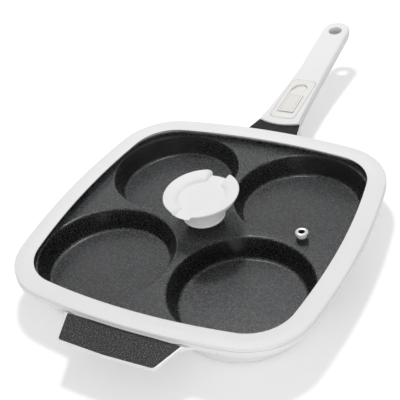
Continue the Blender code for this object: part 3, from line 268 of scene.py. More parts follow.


# %% [markdown]
# ## Non-stick coating
# The inside of the pan wears a dark coating full of tiny mineral
# flecks. From afar it is a soft charcoal grey, close up it sparkles. A fine noise cut
# off high gives sparse light flecks on near black. The colour is then multiplied by how
# far the surface looks up, a painted shade that leaves the cups' steep walls near black,
# and their gloss is lowered too. The grain also lifts the surface a little.
# One recipe serves four places. Their strengths are matched to how light each
# place looks in studio light, and say nothing about how thick the real coat is.

# %% Non-stick coating
def sprayed(name, share, painted_shade_on_walls, shine):
    """The coating: how light its flecks are (raised or lowered for painted light and shade on some places), the
    share of colour that steep faces keep under a painted shade, and its gloss.
    """
    material, tree, shader = finish(name, IOR=1.38)
    stops = [(place, (share * tone, share * tone, share * tone * 1.04))
             for place, tone in ((0.34, 0.015), (0.50, 0.026), (0.60, 0.054), (0.76, 0.14))]
    facing = node(tree, "ShaderNodeSeparateXYZ")
    tree.links.new(node(tree, "ShaderNodeTexCoord").outputs["Normal"], facing.inputs["Vector"])
    # Painted shade: the flecks are multiplied by how far the surface looks up, so steep walls come out near
    # black.
    flecks_with_painted_shade = node(tree, "ShaderNodeMix", data_type="RGBA", blend_type="MULTIPLY")
    flecks_with_painted_shade.inputs["Factor"].default_value = 1.0
    tree.links.new(ramp(tree, grain(tree, 1.0, 1.0), stops), flecks_with_painted_shade.inputs["A"])
    tree.links.new(ramp(tree, facing.outputs["Z"], [(0.35, painted_shade_on_walls), (0.90, 1.0)]), flecks_with_painted_shade.inputs["B"])
    tree.links.new(flecks_with_painted_shade.outputs["Result"], shader.inputs["Base Color"])
    tree.links.new(ramp(tree, facing.outputs["Z"], [(0.35, 0.15 * shine), (0.90, shine)]),
                   shader.inputs["Specular IOR Level"])
    swing(tree, shader, "Roughness", grain(tree, 2.2), 0.23, 0.31)
    bump(tree, shader, grain(tree, 1.6, 3.0, 0.6), 0.05, 0.6)
    return material


coating = sprayed("non stick coating", 1.6, 0.16, 0.45)
# Painted light: the rim wall's flecks are made almost four times lighter than the deck's.
rim_coating_painted_light = sprayed("rim wall painted light coating", 6.0, 1.0, 0.5)
tab_coating = sprayed("tab coating", 1.6, 0.5, 0.1)
# Painted shade: the bracket's flecks are made darker than the deck's.
bracket_coating_painted_shade = sprayed("bracket painted shade coating", 0.6, 0.5, 0.1)
print("four strengths of the coating are ready")

# %% [markdown]
# ## White ceramic of the outside
# The outside of the casting, the bracket and the tab wear a hard white ceramic
# lacquer. It is smooth, but sprayed, so the gloss waves slightly like the skin of
# an orange. A large soft noise varies the white by one or two hundredths.

# %% White ceramic
ceramic, tree, shader = finish("white ceramic", IOR=1.5)
swing(tree, shader, "Base Color", grain(tree, 40.0), (0.775, 0.775, 0.778), (0.800, 0.800, 0.803))
swing(tree, shader, "Roughness", grain(tree, 6.0), 0.26, 0.33)
bump(tree, shader, grain(tree, 2.6, 1.0), 0.02, 0.5)
print(ceramic.name, "is ready")

# %% [markdown]
# ## Silicone, plastic and cream plastic
# The lid's ring is matt silicone, the knob and the handle are satin plastic, and the
# latch is moulded in a slightly warmer plastic. They differ in how rough they are
# and in the size of their moulded grain, so one recipe serves them all.

# %% Moulded finishes
def moulded(name, light, dark, rough, grain_size, depth):
    """A moulded surface: two close tones, an even roughness and a fine grain."""
    material, tree, shader = finish(name, IOR=1.46)
    swing(tree, shader, "Base Color", grain(tree, 30.0), dark, light)
    swing(tree, shader, "Roughness", grain(tree, 4.0), rough - 0.03, rough + 0.03)
    bump(tree, shader, grain(tree, grain_size, 2.0), depth, 0.5)
    return material


silicone = moulded("white silicone", (0.800, 0.800, 0.803), (0.780, 0.780, 0.783), 0.50, 0.7, 0.012)
knob_plastic = moulded("white knob plastic", (0.810, 0.810, 0.812), (0.795, 0.795, 0.797), 0.58, 0.6, 0.008)
grip_plastic = moulded("white handle plastic", (0.790, 0.790, 0.792), (0.772, 0.772, 0.774), 0.48, 0.5, 0.010)
cream_plastic = moulded("cream latch plastic", (0.790, 0.782, 0.755), (0.772, 0.763, 0.735), 0.42, 0.5, 0.008)
panel_plastic = moulded("beige latch panel", (0.745, 0.727, 0.682), (0.728, 0.709, 0.663), 0.46, 0.5, 0.008)
print("five moulded finishes are ready")

# %% [markdown]
# ## Metals
# The discs under the cups are turned steel: fine rings left by the lathe, which are
# modelled in the mesh, with streaks in the roughness on top. Screws, pin, spring and
# the vent's ring are plain drawn or rolled steel with small scratches, and the knob's
# insert is brass. The vent's tube, and the collar kept from the frame, get a dark,
# duller steel: a painted shade for places that little light reaches.

# %% Metals
def metal(name, colour, rough, scratch, stretch):
    """A metal with fine scratches: noise stretched along one direction drives roughness and bump."""
    material, tree, shader = finish(name, Metallic=1.0, Base_Color=(*colour, 1.0))
    lines = grain(tree, scratch, 3.0, 0.6, stretch)
    swing(tree, shader, "Roughness", lines, rough - 0.06, rough + 0.08)
    swing(tree, shader, "Base Color", grain(tree, 9.0), tuple(0.9 * value for value in colour), colour)
    bump(tree, shader, lines, 0.006, 0.6)
    return material


turned_steel = metal("turned steel", (0.60, 0.60, 0.61), 0.30, 1.2, (1.0, 1.0, 1.0))
rolled_steel = metal("rolled steel", (0.62, 0.62, 0.63), 0.26, 1.0, (0.2, 3.0, 3.0))
painted_shade_steel = metal("steel with painted shade", (0.10, 0.10, 0.105), 0.40, 1.0, (0.2, 3.0, 3.0))
brass = metal("brass", (0.72, 0.53, 0.25), 0.28, 0.8, (1.0, 1.0, 1.0))
print("four metals are ready")

# %% [markdown]
# ## Clear glass
# Toughened glass is nearly invisible apart from a faint veil of reflected light. A
# path tracer would lose most lamp light that has to bend through it, so rays that
# carry light to the pan see a clear sheet instead, and only the camera's and the
# gloss's rays meet real glass. A faint unevenness in its roughness keeps it from
# looking like a hole.

# %% Clear glass
glass, tree, shader = finish(
    "clear glass", IOR=1.045, Transmission_Weight=1.0, Base_Color=(0.985, 0.992, 0.990, 1.0))
swing(tree, shader, "Roughness", grain(tree, 60.0), 0.0, 0.02)
clear = node(tree, "ShaderNodeBsdfTransparent")
clear.inputs["Color"].default_value = (0.95, 0.96, 0.96, 1.0)
mix = node(tree, "ShaderNodeMixShader")
tree.links.new(any_ray(tree, "Is Shadow Ray", "Is Diffuse Ray"), mix.inputs["Fac"])
tree.links.new(shader.outputs["BSDF"], mix.inputs[1])
tree.links.new(clear.outputs["BSDF"], mix.inputs[2])
tree.links.new(mix.outputs["Shader"], tree.nodes["Material Output"].inputs["Surface"])
print(glass.name, "is ready")

# %% [markdown]
# ## The rounded square
# The pan, its rim and the lid's ring all follow one outline: four shallow side arcs
# joined by tighter corner arcs. Lines at other widths run parallel to it, so each
# point keeps its outward direction and only slides along it. One quarter is enough,
# the rest is that quarter turned about the middle.

# %% The rounded square
RIM_HALF = 140.0
SIDE_RADIUS = 586.04
CORNER_RADIUS = 55.5
side_middle = RIM_HALF - SIDE_RADIUS
reach = SIDE_RADIUS - CORNER_RADIUS
corner_middle = (side_middle + np.sqrt(2.0 * reach ** 2 - side_middle ** 2)) / 2.0
corner_turn = np.arctan2(corner_middle, corner_middle - side_middle)


def quarter_outline(half, side_steps=14, corner_steps=26):
    """Quarter from (half, 0) to (0, half): arc middle plus arc radius times the outward direction.

    The radius of each arc is that of the rim plus the difference in half width.
    """
    turn_a = np.linspace(0.0, corner_turn, side_steps, endpoint=False)
    turn_b = np.linspace(corner_turn, np.pi / 2 - corner_turn, corner_steps, endpoint=False)
    turn_c = np.linspace(np.pi / 2 - corner_turn, np.pi / 2, side_steps + 1)
    parts = []
    for turn, middle, radius in (
            (turn_a, (side_middle, 0.0), SIDE_RADIUS),
            (turn_b, (corner_middle, corner_middle), CORNER_RADIUS),
            (turn_c, (0.0, side_middle), SIDE_RADIUS)):
        out = np.column_stack([np.cos(turn), np.sin(turn)])
        parts.append(np.array(middle) + out * (radius + half - RIM_HALF))
    return np.concatenate(parts)


def square_sweep(profile, side_steps=14, corner_steps=26):
    """Grid whose rows are the rounded square at each (half width, height) of the profile."""
    rows = []
    for half, height in profile:
        quarter = quarter_outline(half, side_steps, corner_steps)[:-1]
        turned = [quarter, quarter[:, ::-1] * (-1, 1), -quarter, quarter[:, ::-1] * (1, -1)]
        rows.append(level(np.concatenate(turned), height))
    return np.array(rows)


print("corner arcs turn about", np.round(corner_middle, 2), "mm from the middle")

# %% [markdown]
# ## A quarter of the deck with its well
# Each quarter of the deck holds one well. Spokes run from the well's middle to the
# quarter's border: the two centre lines and a quarter of the rounded square. On the
# inner part of every spoke lies the well's round profile, and from there straight
# lines go out to the border. The four quarters then share their border points, so
# they close into one skin without seams.

# %% Quarter of the deck
WELL_MIDDLE = 63.0


def quarter_border(half):
    """Border of a quarter, anticlockwise from the middle of the deck.

    Points on the centre lines lie where spokes of even angle meet them: the well's
    distance plus that distance times the tangent of the spoke's angle.
    """
    lean = np.linspace(-np.pi / 4, np.arctan((half - WELL_MIDDLE) / WELL_MIDDLE), 34)
    along = WELL_MIDDLE * (1.0 + np.tan(lean))
    along[0] = 0.0
    along[-1] = half
    to_rim = np.column_stack([along, np.zeros_like(along)])
    back = to_rim[::-1, ::-1]
    return np.concatenate([to_rim[:-1], quarter_outline(half)[:-1], back[:-1]])


def four_quarters(profile, half, turned, rows=5):
    """Four grids: rings of the (radius, height) profile round each well, then lines to the border."""
    border = quarter_border(half)
    spoke = border - WELL_MIDDLE
    spoke = spoke / np.hypot(spoke[:, 0], spoke[:, 1])[:, None]
    rings = [level(WELL_MIDDLE + radius * spoke, height) for radius, height in profile]
    edge = level(border, profile[-1][1])
    for share in np.linspace(0.0, 1.0, rows + 1)[1:]:
        rings.append(rings[len(profile) - 1] * (1 - share) + edge * share)
    patch = np.array(rings)
    grids = []
    for across, along in ((1, 1), (-1, 1), (-1, -1), (1, -1)):
        copy = patch * (across, along, 1)
        if across * along < 0:
            copy = copy[:, ::-1]
        grids.append(grid(copy, turned=turned))
    return grids


# %% [markdown]
# ## The coated inside of the pan
# The casting's inside has well floors, their sloping walls with a small fillet below
# and a rolled lip above, and the flat deck. The low wall that rises to the rim is a
# piece of its own, so that its coat can be made much lighter: painted light against
# the shade under the lid's ring. It starts with a slope and then stands nearly
# upright, so that the skirt of the ring clears it. Both are skins with a thin wall,
# and meet the white outside under the ring.

# %% Coated inside
WELL_RADIUS = 59.8
WELL_FLOOR_RADIUS = 52.2
WELL_DEPTH = 18.0
WELL_FILLET = 3.2
WELL_LIP = 2.5
RIM_WALL_HALF = 133.0
RIM_HEIGHT = 6.0
RIM_SLOPE = 1.9
SKIN = 1.0

well_profile = rounded([
    (0.0, -WELL_DEPTH, 0.0),
    (WELL_FLOOR_RADIUS, -WELL_DEPTH, WELL_FILLET),
    (WELL_RADIUS, 0.0, WELL_LIP),
    (WELL_RADIUS + 2.0 * WELL_LIP, 0.0, 0.0),
], 7)[:-1]
well_profile = spread(well_profile, 4.0)
wall_profile = rounded([
    (RIM_WALL_HALF - 3.4, 0.0, 0.0),
    (RIM_WALL_HALF - 0.5 - RIM_SLOPE, 0.0, 0.8),
    (RIM_WALL_HALF - 0.5, RIM_SLOPE, 0.8),
    (RIM_WALL_HALF, RIM_HEIGHT, 0.7),
    (RIM_WALL_HALF + 1.0, RIM_HEIGHT, 0.0),
], 6)
casting("pan_inside", four_quarters(well_profile, wall_profile[0][0], False), coating, SKIN)
# The rim wall's lighter coat is painted light.
casting("rim_wall", [grid(square_sweep(wall_profile))], rim_coating_painted_light, SKIN)

# %% [markdown]
# ## The white outside of the pan
# Below, every well is the inside of a deep cup that ends in a narrow foot ring, with
# a shallow recess for its steel disc. The same quarters serve, with the cup's
# profile and the faces turned down. The skin then runs out under the flange, round
# its edge and back over the top to the coated wall.

# %% White outside
CUP_TOP_RADIUS = 62.0
CUP_LOW_RADIUS = 58.4
CUP_FILLET = 8.0
DECK_THICKNESS = 3.5
FOOT_INNER = 47.2
RECESS_ROOF = -26.2

cup_profile = rounded([
    (0.0, RECESS_ROOF, 0.0),
    (FOOT_INNER, RECESS_ROOF, 0.4),
    (FOOT_INNER, -DECK_HEIGHT, 0.3),
    (CUP_LOW_RADIUS, -DECK_HEIGHT, CUP_FILLET),
    (CUP_TOP_RADIUS - 0.2, -DECK_THICKNESS, 0.9),
    (CUP_TOP_RADIUS + 0.85, -DECK_THICKNESS, 0.0),
], 7)
cup_profile = spread(cup_profile, 5.0)
flange_profile = rounded([
    (RIM_WALL_HALF, -DECK_THICKNESS, 0.0),
    (RIM_WALL_HALF + 1.9, -DECK_THICKNESS, 1.0),
    (RIM_WALL_HALF + 2.9, 0.0, 1.2),
    (RIM_HALF, 0.0, 1.7),
    (RIM_HALF, RIM_HEIGHT, 0.9),
    (RIM_WALL_HALF + 1.0, RIM_HEIGHT, 0.0),
], 7)
outside = four_quarters(cup_profile, flange_profile[0][0], True)
outside.append(grid(square_sweep(flange_profile), turned=True))
casting("pan_outside", outside, ceramic, SKIN)

# %% [markdown]
# ## Slabs with rounded edges
# The tab, the latch's panel and other flat pieces are slabs: an outline seen from
# above and a rounded edge all round. Each ring of the slab is the outline moved
# inwards along its own outward direction, and the top and bottom close in a point.

# %% Slab helper
def outward(outline):
    """Outward direction at each point of a closed anticlockwise outline: its tangent turned right."""
    tangent = np.roll(outline, -1, axis=0) - np.roll(outline, 1, axis=0)
    tangent = tangent / np.hypot(tangent[:, 0], tangent[:, 1])[:, None]
    return np.column_stack([tangent[:, 1], -tangent[:, 0]])


def capped(rings, middle):
    """Level rings closed below and above by a point over the middle."""
    ends = [np.tile([*middle, ring[0][2]], (1, len(ring), 1)) for ring in (rings[0], rings[-1])]
    return np.concatenate([ends[0], np.array(rings), ends[1]])


def slab(outline, low, high, top_edge, low_edge, steps=5):
    """Closed grid of a slab between two heights, its edges rounded by the two radii."""
    out = outward(outline)
    section = rounded([
        (max(top_edge, low_edge) + 0.2, low, 0.0),
        (0.0, low, low_edge),
        (0.0, high, top_edge),
        (max(top_edge, low_edge) + 0.2, high, 0.0),
    ], steps)
    return capped([level(outline - inset * out, height) for inset, height in section], outline.mean(axis=0))


def mirrored(half_line):
    """Closed outline from its right half, which starts and ends on the centre line."""
    left = half_line[1:-1][::-1] * (-1, 1)
    return np.concatenate([half_line, left])


def closed_outline(half_corners, steps, gap):
    """Closed outline from the corners of its right half, with no step longer than the gap."""
    return mirrored(spread(rounded(half_corners, steps), gap))


# %% [markdown]
# ## The front tab
# A thick plate grows out of the rim for a second hand or a cloth. Its root flares
# into the flange and its tip bows a little. The plate itself is white, and its top
# carries the dark coating up to a narrow white border, so the coating is a thin slab
# of its own that stands a few hundredths of a millimetre proud.

# %% Front tab
TAB_END = -167.5
TAB_ROOT_HALF = 51.5
TAB_TIP_HALF = 43.0
TAB_TOP = 4.0
TAB_THICKNESS = 3.8
TAB_BOW = 1.6
TAB_BORDER = 1.4
TIP_BORDER = 0.5
COAT = 0.3
PROUD = 0.04

tab_line = rounded([
    (0.0, -RIM_HALF + 5.0, 0.0),
    (TAB_ROOT_HALF + 9.0, -RIM_HALF + 5.0, 0.0),
    (TAB_ROOT_HALF + 9.0, -RIM_HALF + 3.4, 0.0),
    (TAB_ROOT_HALF, -RIM_HALF - 1.0, 9.0),
    (TAB_TIP_HALF, TAB_END + TAB_BOW, 4.5),
    (0.0, TAB_END, 0.0),
], 9)[::-1]
tab_line = spread(tab_line, 3.0)
print("tab outline has", len(tab_line), "points on its right half")
casting("front_tab", [grid(slab(mirrored(tab_line), TAB_TOP - TAB_THICKNESS, TAB_TOP, 0.45, 1.3))], ceramic)

tip = TAB_END + TIP_BORDER
coat_outline = closed_outline([
    (0.0, tip, 0.0),
    (TAB_TIP_HALF - TAB_BORDER, tip + TAB_BOW, 3.6),
    (TAB_ROOT_HALF - TAB_BORDER, -RIM_HALF - 1.0, 0.0),
    (TAB_ROOT_HALF - TAB_BORDER + 0.2, -RIM_HALF + 0.6, 0.0),
    (0.0, -RIM_HALF + 0.6, 0.0),
], 7, 3.0)
casting("tab_coat", [grid(slab(coat_outline, TAB_TOP - COAT, TAB_TOP + PROUD, 0.04, 0.04, 2))], tab_coating)

# %% [markdown]
# ## The rear bracket
# A stout white bracket reaches back from the rim, deep at its end and thinner where
# it enters the flange. It is a loft: the same rounded trough section at several
# stations along y, its half width shrinking towards the end. Its top carries the
# coating too, made darker than the deck's as a painted shade.

# %% Rear bracket
BRACKET_END = 168.0
BRACKET_ROOT_HALF = 28.0
BRACKET_TIP_HALF = 21.9
BRACKET_TOP = 1.2
BRACKET_LOW = -11.8
BRACKET_BORDER = 0.25


def bracket_half(y):
    """Half width at y: a straight line from the root at the rim to the tip."""
    share = (BRACKET_END - y) / (BRACKET_END - RIM_HALF)
    return BRACKET_TIP_HALF + (BRACKET_ROOT_HALF - BRACKET_TIP_HALF) * share


def bracket_ring(y, low, inset=0.0):
    """Section at one station: flat top, drawn in sides and rounded lower corners."""
    half = bracket_half(y) - inset
    edge = min(2.5, (BRACKET_TOP - low) / 2.5)
    line = rounded([
        (0.0, low + inset, 0.0),
        (half - 0.5, low + inset, edge),
        (half, BRACKET_TOP - inset, 0.5),
        (0.0, BRACKET_TOP - inset, 0.0),
    ], 6)
    loop = mirrored(line)
    return np.column_stack([loop[:, 0], np.full(len(loop), y), loop[:, 1]])


stations = [(134.0, -4.0, 0.0), (136.5, -7.6, 0.0), (140.0, BRACKET_LOW, 0.0)]
stations += [(y, BRACKET_LOW, 0.0) for y in np.linspace(145.0, BRACKET_END - 0.6, 6)]
stations += [(BRACKET_END - 0.15, BRACKET_LOW, 0.15), (BRACKET_END, BRACKET_LOW, 0.6)]
rings = np.array([bracket_ring(*station) for station in stations])
ends = [np.tile(ring.mean(axis=0), (1, ring.shape[0], 1)) for ring in (rings[0], rings[-1])]
casting("rear_bracket", [grid(np.concatenate([ends[0], rings, ends[1]]))], ceramic)

coat_start, coat_end = RIM_HALF - 1.0, BRACKET_END - BRACKET_BORDER
coat_outline = closed_outline([
    (0.0, coat_start, 0.0),
    (bracket_half(coat_start) - BRACKET_BORDER, coat_start, 0.0),
    (bracket_half(coat_end) - BRACKET_BORDER, coat_end, 0.8),
    (0.0, coat_end, 0.0),
], 4, 4.0)
coat = slab(coat_outline, BRACKET_TOP - COAT, BRACKET_TOP + PROUD, 0.04, 0.04, 2)
# The bracket's darker coat is painted shade.
casting("bracket_coat", [grid(coat)], bracket_coating_painted_shade)

# %% [markdown]
# ## The tongue
# Behind the bracket a flat tongue with a slot slides into the handle, and the
# latch's hook drops into the slot. A plate with a hole is a closed band: out along
# the bottom, up the outside, back over the top and down the slot.

# %% Plate with a hole
def holed_plate(outer, inner, low, high, edge):
    """Closed grid of a plate between two matched outlines, both with small rounded edges."""
    outer_out, inner_out = outward(outer), -outward(inner)
    flat = edge + 0.1
    section = rounded([(flat, low, 0.0), (0.0, low, edge), (0.0, high, edge), (flat, high, 0.0)], 3)
    rows = [level(outer - inset * outer_out, height) for inset, height in section]
    rows += [level(inner - inset * inner_out, height) for inset, height in section[::-1]]
    return np.array(rows)


def by_angle(outline, middle, angles):
    """Points of an outline in the given directions from a middle, read off between its own points."""
    away = outline - middle
    own = np.arctan2(away[:, 1], away[:, 0])
    order = np.argsort(own)
    own, away = own[order], away[order]
    return np.column_stack([
        middle[0] + np.interp(angles, own, away[:, 0], period=2.0 * np.pi),
        middle[1] + np.interp(angles, own, away[:, 1], period=2.0 * np.pi)])


# %% Tongue
TONGUE_HALF = 9.0
TONGUE_LOW = -6.6
TONGUE_TOP = -3.4
TONGUE_TIP = 197.0
SLOT_START, SLOT_END, SLOT_HALF = 187.0, 192.4, 4.8

plate_outline = closed_outline([
    (0.0, BRACKET_END - 1.5, 0.0),
    (TONGUE_HALF, BRACKET_END - 1.5, 0.0),
    (TONGUE_HALF, TONGUE_TIP, 1.2),
    (0.0, TONGUE_TIP, 0.0),
], 5, 0.4)
slot_outline = closed_outline([
    (0.0, SLOT_START, 0.0),
    (SLOT_HALF, SLOT_START, 0.6),
    (SLOT_HALF, SLOT_END, 0.6),
    (0.0, SLOT_END, 0.0),
], 5, 0.2)
angles = np.linspace(-np.pi, np.pi, 180, endpoint=False)
slot_middle = np.array([0.0, (SLOT_START + SLOT_END) / 2.0])
tongue = holed_plate(by_angle(plate_outline, slot_middle, angles),
                     by_angle(slot_outline, slot_middle, angles), TONGUE_LOW, TONGUE_TOP, 0.4)
casting("handle_tongue", [grid(tongue, wrap_rows=True)], ceramic)

# %% [markdown]
# ## Turned pieces
# Discs, the knob's base and the vent are turned shapes: a profile of radius and
# height carried round an upright axis. Rings at equal angles give the grid.

# %% Turned shape helper
def turned_grid(profile, middle=(0.0, 0.0), columns=96, wrap_rows=False):
    """Grid of a profile (radius, height) turned about an upright axis through the middle."""
    angle = np.linspace(0.0, 2.0 * np.pi, columns, endpoint=False)
    radius, height = profile[:, 0, None], profile[:, 1, None]
    points = np.stack([
        middle[0] + radius * np.cos(angle),
        middle[1] + radius * np.sin(angle),
        height + 0.0 * angle], axis=-1)
    return grid(points, wrap_rows)


# %% [markdown]
# ## Steel discs under the cups
# Each cup's foot holds a disc of turned steel. The lathe leaves fine rings, so the
# disc's face is a row of shallow waves, a few hundredths of a millimetre deep, with
# a small centre mark. Four discs share one profile.

# %% Steel discs
DISC_RADIUS = 46.9
DISC_THICKNESS = 1.5
RING_PITCH = 1.1

reach_out = np.arange(3.0, DISC_RADIUS - 0.6, RING_PITCH / 6.0)
wave = 0.03 * (1.0 - np.cos(2.0 * np.pi * (reach_out - 3.0) / RING_PITCH))
face = np.column_stack([reach_out, wave - DECK_HEIGHT])
disc_profile = np.concatenate([
    [[0.0, 0.5 - DECK_HEIGHT], [1.0, 0.1 - DECK_HEIGHT], [2.6, 0.0 - DECK_HEIGHT]],
    face,
    rounded([(DISC_RADIUS - 0.5, -DECK_HEIGHT, 0.0), (DISC_RADIUS, -DECK_HEIGHT, 0.3),
             (DISC_RADIUS, DISC_THICKNESS - DECK_HEIGHT, 0.2), (0.0, DISC_THICKNESS - DECK_HEIGHT, 0.0)], 3)])
for name, across, along in (("front_left", -1, -1), ("front_right", 1, -1),
                            ("back_right", 1, 1), ("back_left", -1, 1)):
    middle = (across * WELL_MIDDLE, along * WELL_MIDDLE)
    piece("turned_disc_" + name, [turned_grid(disc_profile, middle)],
          turned_steel, "pan", ["base_disc_" + name], "bare_steel")

# %% [markdown]
# ## The lid's ring
# A wide silicone ring frames the glass. It lies on the rim, hangs a skirt inside the
# pan and grips the glass in a groove. Its section is a closed line, carried along
# the rounded square and closed both ways.

# %% Lid ring
RING_TOP = 9.0
RING_SEAT = 6.3
RING_INNER = 123.4
GROOVE_HALF = 131.1
GLASS_LOW = 3.6
GLASS_TOP = 7.4
SKIRT_HALF = 132.4

ring_section = rounded([
    (RIM_HALF - 0.2, RING_SEAT, 0.35),
    (RIM_HALF, RING_TOP - 0.15, 1.3),
    (RIM_HALF - 8.0, RING_TOP, 9.0),
    (RING_INNER, GLASS_TOP + 0.95, 0.35),
    (RING_INNER + 0.1, GLASS_TOP + 0.3, 0.15),
    (GROOVE_HALF, GLASS_TOP + 0.3, 0.0),
    (GROOVE_HALF, GLASS_LOW - 0.3, 0.0),
    (GROOVE_HALF - 2.4, GLASS_LOW - 0.3, 0.2),
    (GROOVE_HALF - 2.4, 2.2, 0.4),
    (SKIRT_HALF, 2.2, 0.5),
    (SKIRT_HALF, RING_SEAT, 0.0),
], 6, closed=True)
piece("lid_ring", [grid(square_sweep(ring_section, 16, 30), wrap_rows=True)],
      silicone, "lid", ["lid_rim"], "white_silicone")

# %% [markdown]
# ## The knob
# The knob is a cone that widens upwards and carries a dished tray with two notches,
# in which a spatula can rest. The cone is a turned shape. The tray starts as one
# too, but its columns are steered: on the two walls they stop at the notches' straight
# sides, and between them the same rows lie flat on the floor, so that the notches
# end in upright faces with rounded edges.

# %% Knob base
BASE_LOW = 8.6
BASE_TOP = 24.6
BASE_FOOT_RADIUS = 18.4
NECK_RADIUS = 20.5

base_profile = rounded([
    (0.0, BASE_LOW + 2.0, 0.0),
    (BASE_FOOT_RADIUS - 2.4, BASE_LOW + 2.0, 0.0),
    (BASE_FOOT_RADIUS - 2.4, BASE_LOW, 0.3),
    (BASE_FOOT_RADIUS, BASE_LOW, 0.25),
    (BASE_FOOT_RADIUS, BASE_LOW + 0.7, 0.3),
    (BASE_FOOT_RADIUS - 0.8, BASE_LOW + 1.1, 0.4),
    (BASE_FOOT_RADIUS + 0.2, BASE_LOW + 8.0, 30.0),
    (NECK_RADIUS, BASE_TOP, 0.3),
    (0.0, BASE_TOP, 0.0),
], 6)
piece("knob_cone", [turned_grid(spread(base_profile, 2.0))],
      knob_plastic, "lid", ["knob_base"], "white_plastic")

# %% Knob tray
TRAY_LOW = 24.9
TRAY_TOP = 32.9
TRAY_FLOOR = 28.2
TRAY_RADIUS = 32.2
TRAY_STRETCH = 1.06
FLOOR_RADIUS = 19.6
NOTCH_HALF = 6.9
NOTCH_LEAN = 0.6
NOTCH_EDGE = 2.2
KNOB_TURN = np.radians(-4.0)
CENTRE_RADIUS = FLOOR_RADIUS - 4.0

wall_line = spread(rounded([
    (CENTRE_RADIUS, TRAY_FLOOR, 0.0),
    (FLOOR_RADIUS, TRAY_FLOOR, 0.4),
    (FLOOR_RADIUS + 2.6, TRAY_FLOOR + 2.2, 7.0),
    (TRAY_RADIUS - 1.6, TRAY_TOP - 0.15, 1.2),
    (TRAY_RADIUS - 0.6, TRAY_TOP, 0.5),
    (TRAY_RADIUS, TRAY_TOP - 0.6, 0.6),
    (TRAY_RADIUS - 2.0, TRAY_FLOOR + 0.1, 0.0),
], 6), 0.7)
under_line = spread(rounded([
    (TRAY_RADIUS - 2.0, TRAY_FLOOR + 0.1, 0.0),
    (TRAY_RADIUS - 2.8, TRAY_FLOOR - 1.2, 2.0),
    (NECK_RADIUS, TRAY_LOW, 0.5),
    (0.0, TRAY_LOW, 0.0),
], 6), 2.0)[1:]
floor_line = spread(np.array([[0.0, TRAY_FLOOR], [CENTRE_RADIUS, TRAY_FLOOR]]), 2.5)[:-1]


def tray_columns(per_wall=56, per_notch=14):
    """Columns once round: wall side, place along a wall or notch, set back, sink, and whether in a notch.

    A wall's end has an edge of radius e: for a from 0 to 90 degrees the column stands
    e (1 - cos a) back from the notch's side and its profile sinks by e (1 - sin a).
    """
    back, sink = np.array(edge_turn(NOTCH_EDGE, 6)).T
    run = np.linspace(-1.0, 1.0, per_wall)[1:-1]
    still, flat = np.zeros(len(run)), np.zeros(per_notch)
    edge = np.ones(len(back))
    place = np.concatenate([-edge, run, edge, np.linspace(0.0, 1.0, per_notch)])
    set_back = np.concatenate([back, still + NOTCH_EDGE, back[::-1], flat])
    sunk = np.concatenate([sink, still, sink[::-1], flat])
    in_notch = np.arange(len(place)) >= len(place) - per_notch
    start = np.repeat([0.0, np.pi], len(place))
    return start, *(np.tile(column, 2) for column in (place, set_back, sunk, in_notch))


def tray_grid():
    """Tray rows by columns: walls follow the profile, notches the flat floor.

    A wall at radius r reaches arccos(notch half width / r) to either side of its
    middle, so that its ends are straight in plan; the half width grows with height,
    and a notch spans the rest of the half turn. Near its ends the wall sinks in
    proportion to its height. Last, all is stretched along the notches.
    """
    start, place, set_back, sunk, in_notch = tray_columns()
    line = np.concatenate([floor_line, wall_line, under_line])
    out = np.minimum(wall_line[:, 0], wall_line[-1, 0]) - 0.002 * np.arange(len(wall_line))
    fall = np.clip((out - 24.0) / (wall_line[-1, 0] - 24.0), 0.0, 1.0)
    flat_line = np.concatenate([floor_line, np.column_stack([out, TRAY_FLOOR - 0.7 * fall ** 2]), under_line])
    lift = np.clip((line[:, 1:] - TRAY_FLOOR) / (TRAY_TOP - TRAY_FLOOR), 0.0, 1.0)
    radius = np.where(in_notch, flat_line[:, :1], line[:, :1])
    height = np.where(in_notch, flat_line[:, 1:], line[:, 1:] - sunk * lift)
    half = NOTCH_HALF + NOTCH_LEAN * np.clip(height - TRAY_FLOOR, 0.0, None)
    hold = np.arccos((half + set_back) / np.maximum(radius, CENTRE_RADIUS))
    angle = start + np.where(in_notch, hold + place * (np.pi - 2.0 * hold), place * hold)
    right, along = radius * np.cos(angle), TRAY_STRETCH * radius * np.sin(angle)
    return np.stack([
        right * np.cos(KNOB_TURN) - along * np.sin(KNOB_TURN),
        right * np.sin(KNOB_TURN) + along * np.cos(KNOB_TURN), height], axis=-1)


piece("knob_dish", [grid(tray_grid())], knob_plastic, "lid", ["knob_tray"], "white_plastic")

# %% [markdown]
# ## The steam vent
# A steel eyelet is pressed through the glass. Its rolled collar is the bright ring
# that shows on top, and its tube goes down through the glass as a bore painted dark,
# a painted shade. They are two pieces, so that only the tube has the painted shade.
# A thin silicone washer lies under the ring. All three are closed sections, turned about one axis.

# %% Steam vent
VENT = (88.0, 4.5)
WASHER_TOP = GLASS_TOP + 0.8
VENT_LOW = GLASS_TOP + 1.2

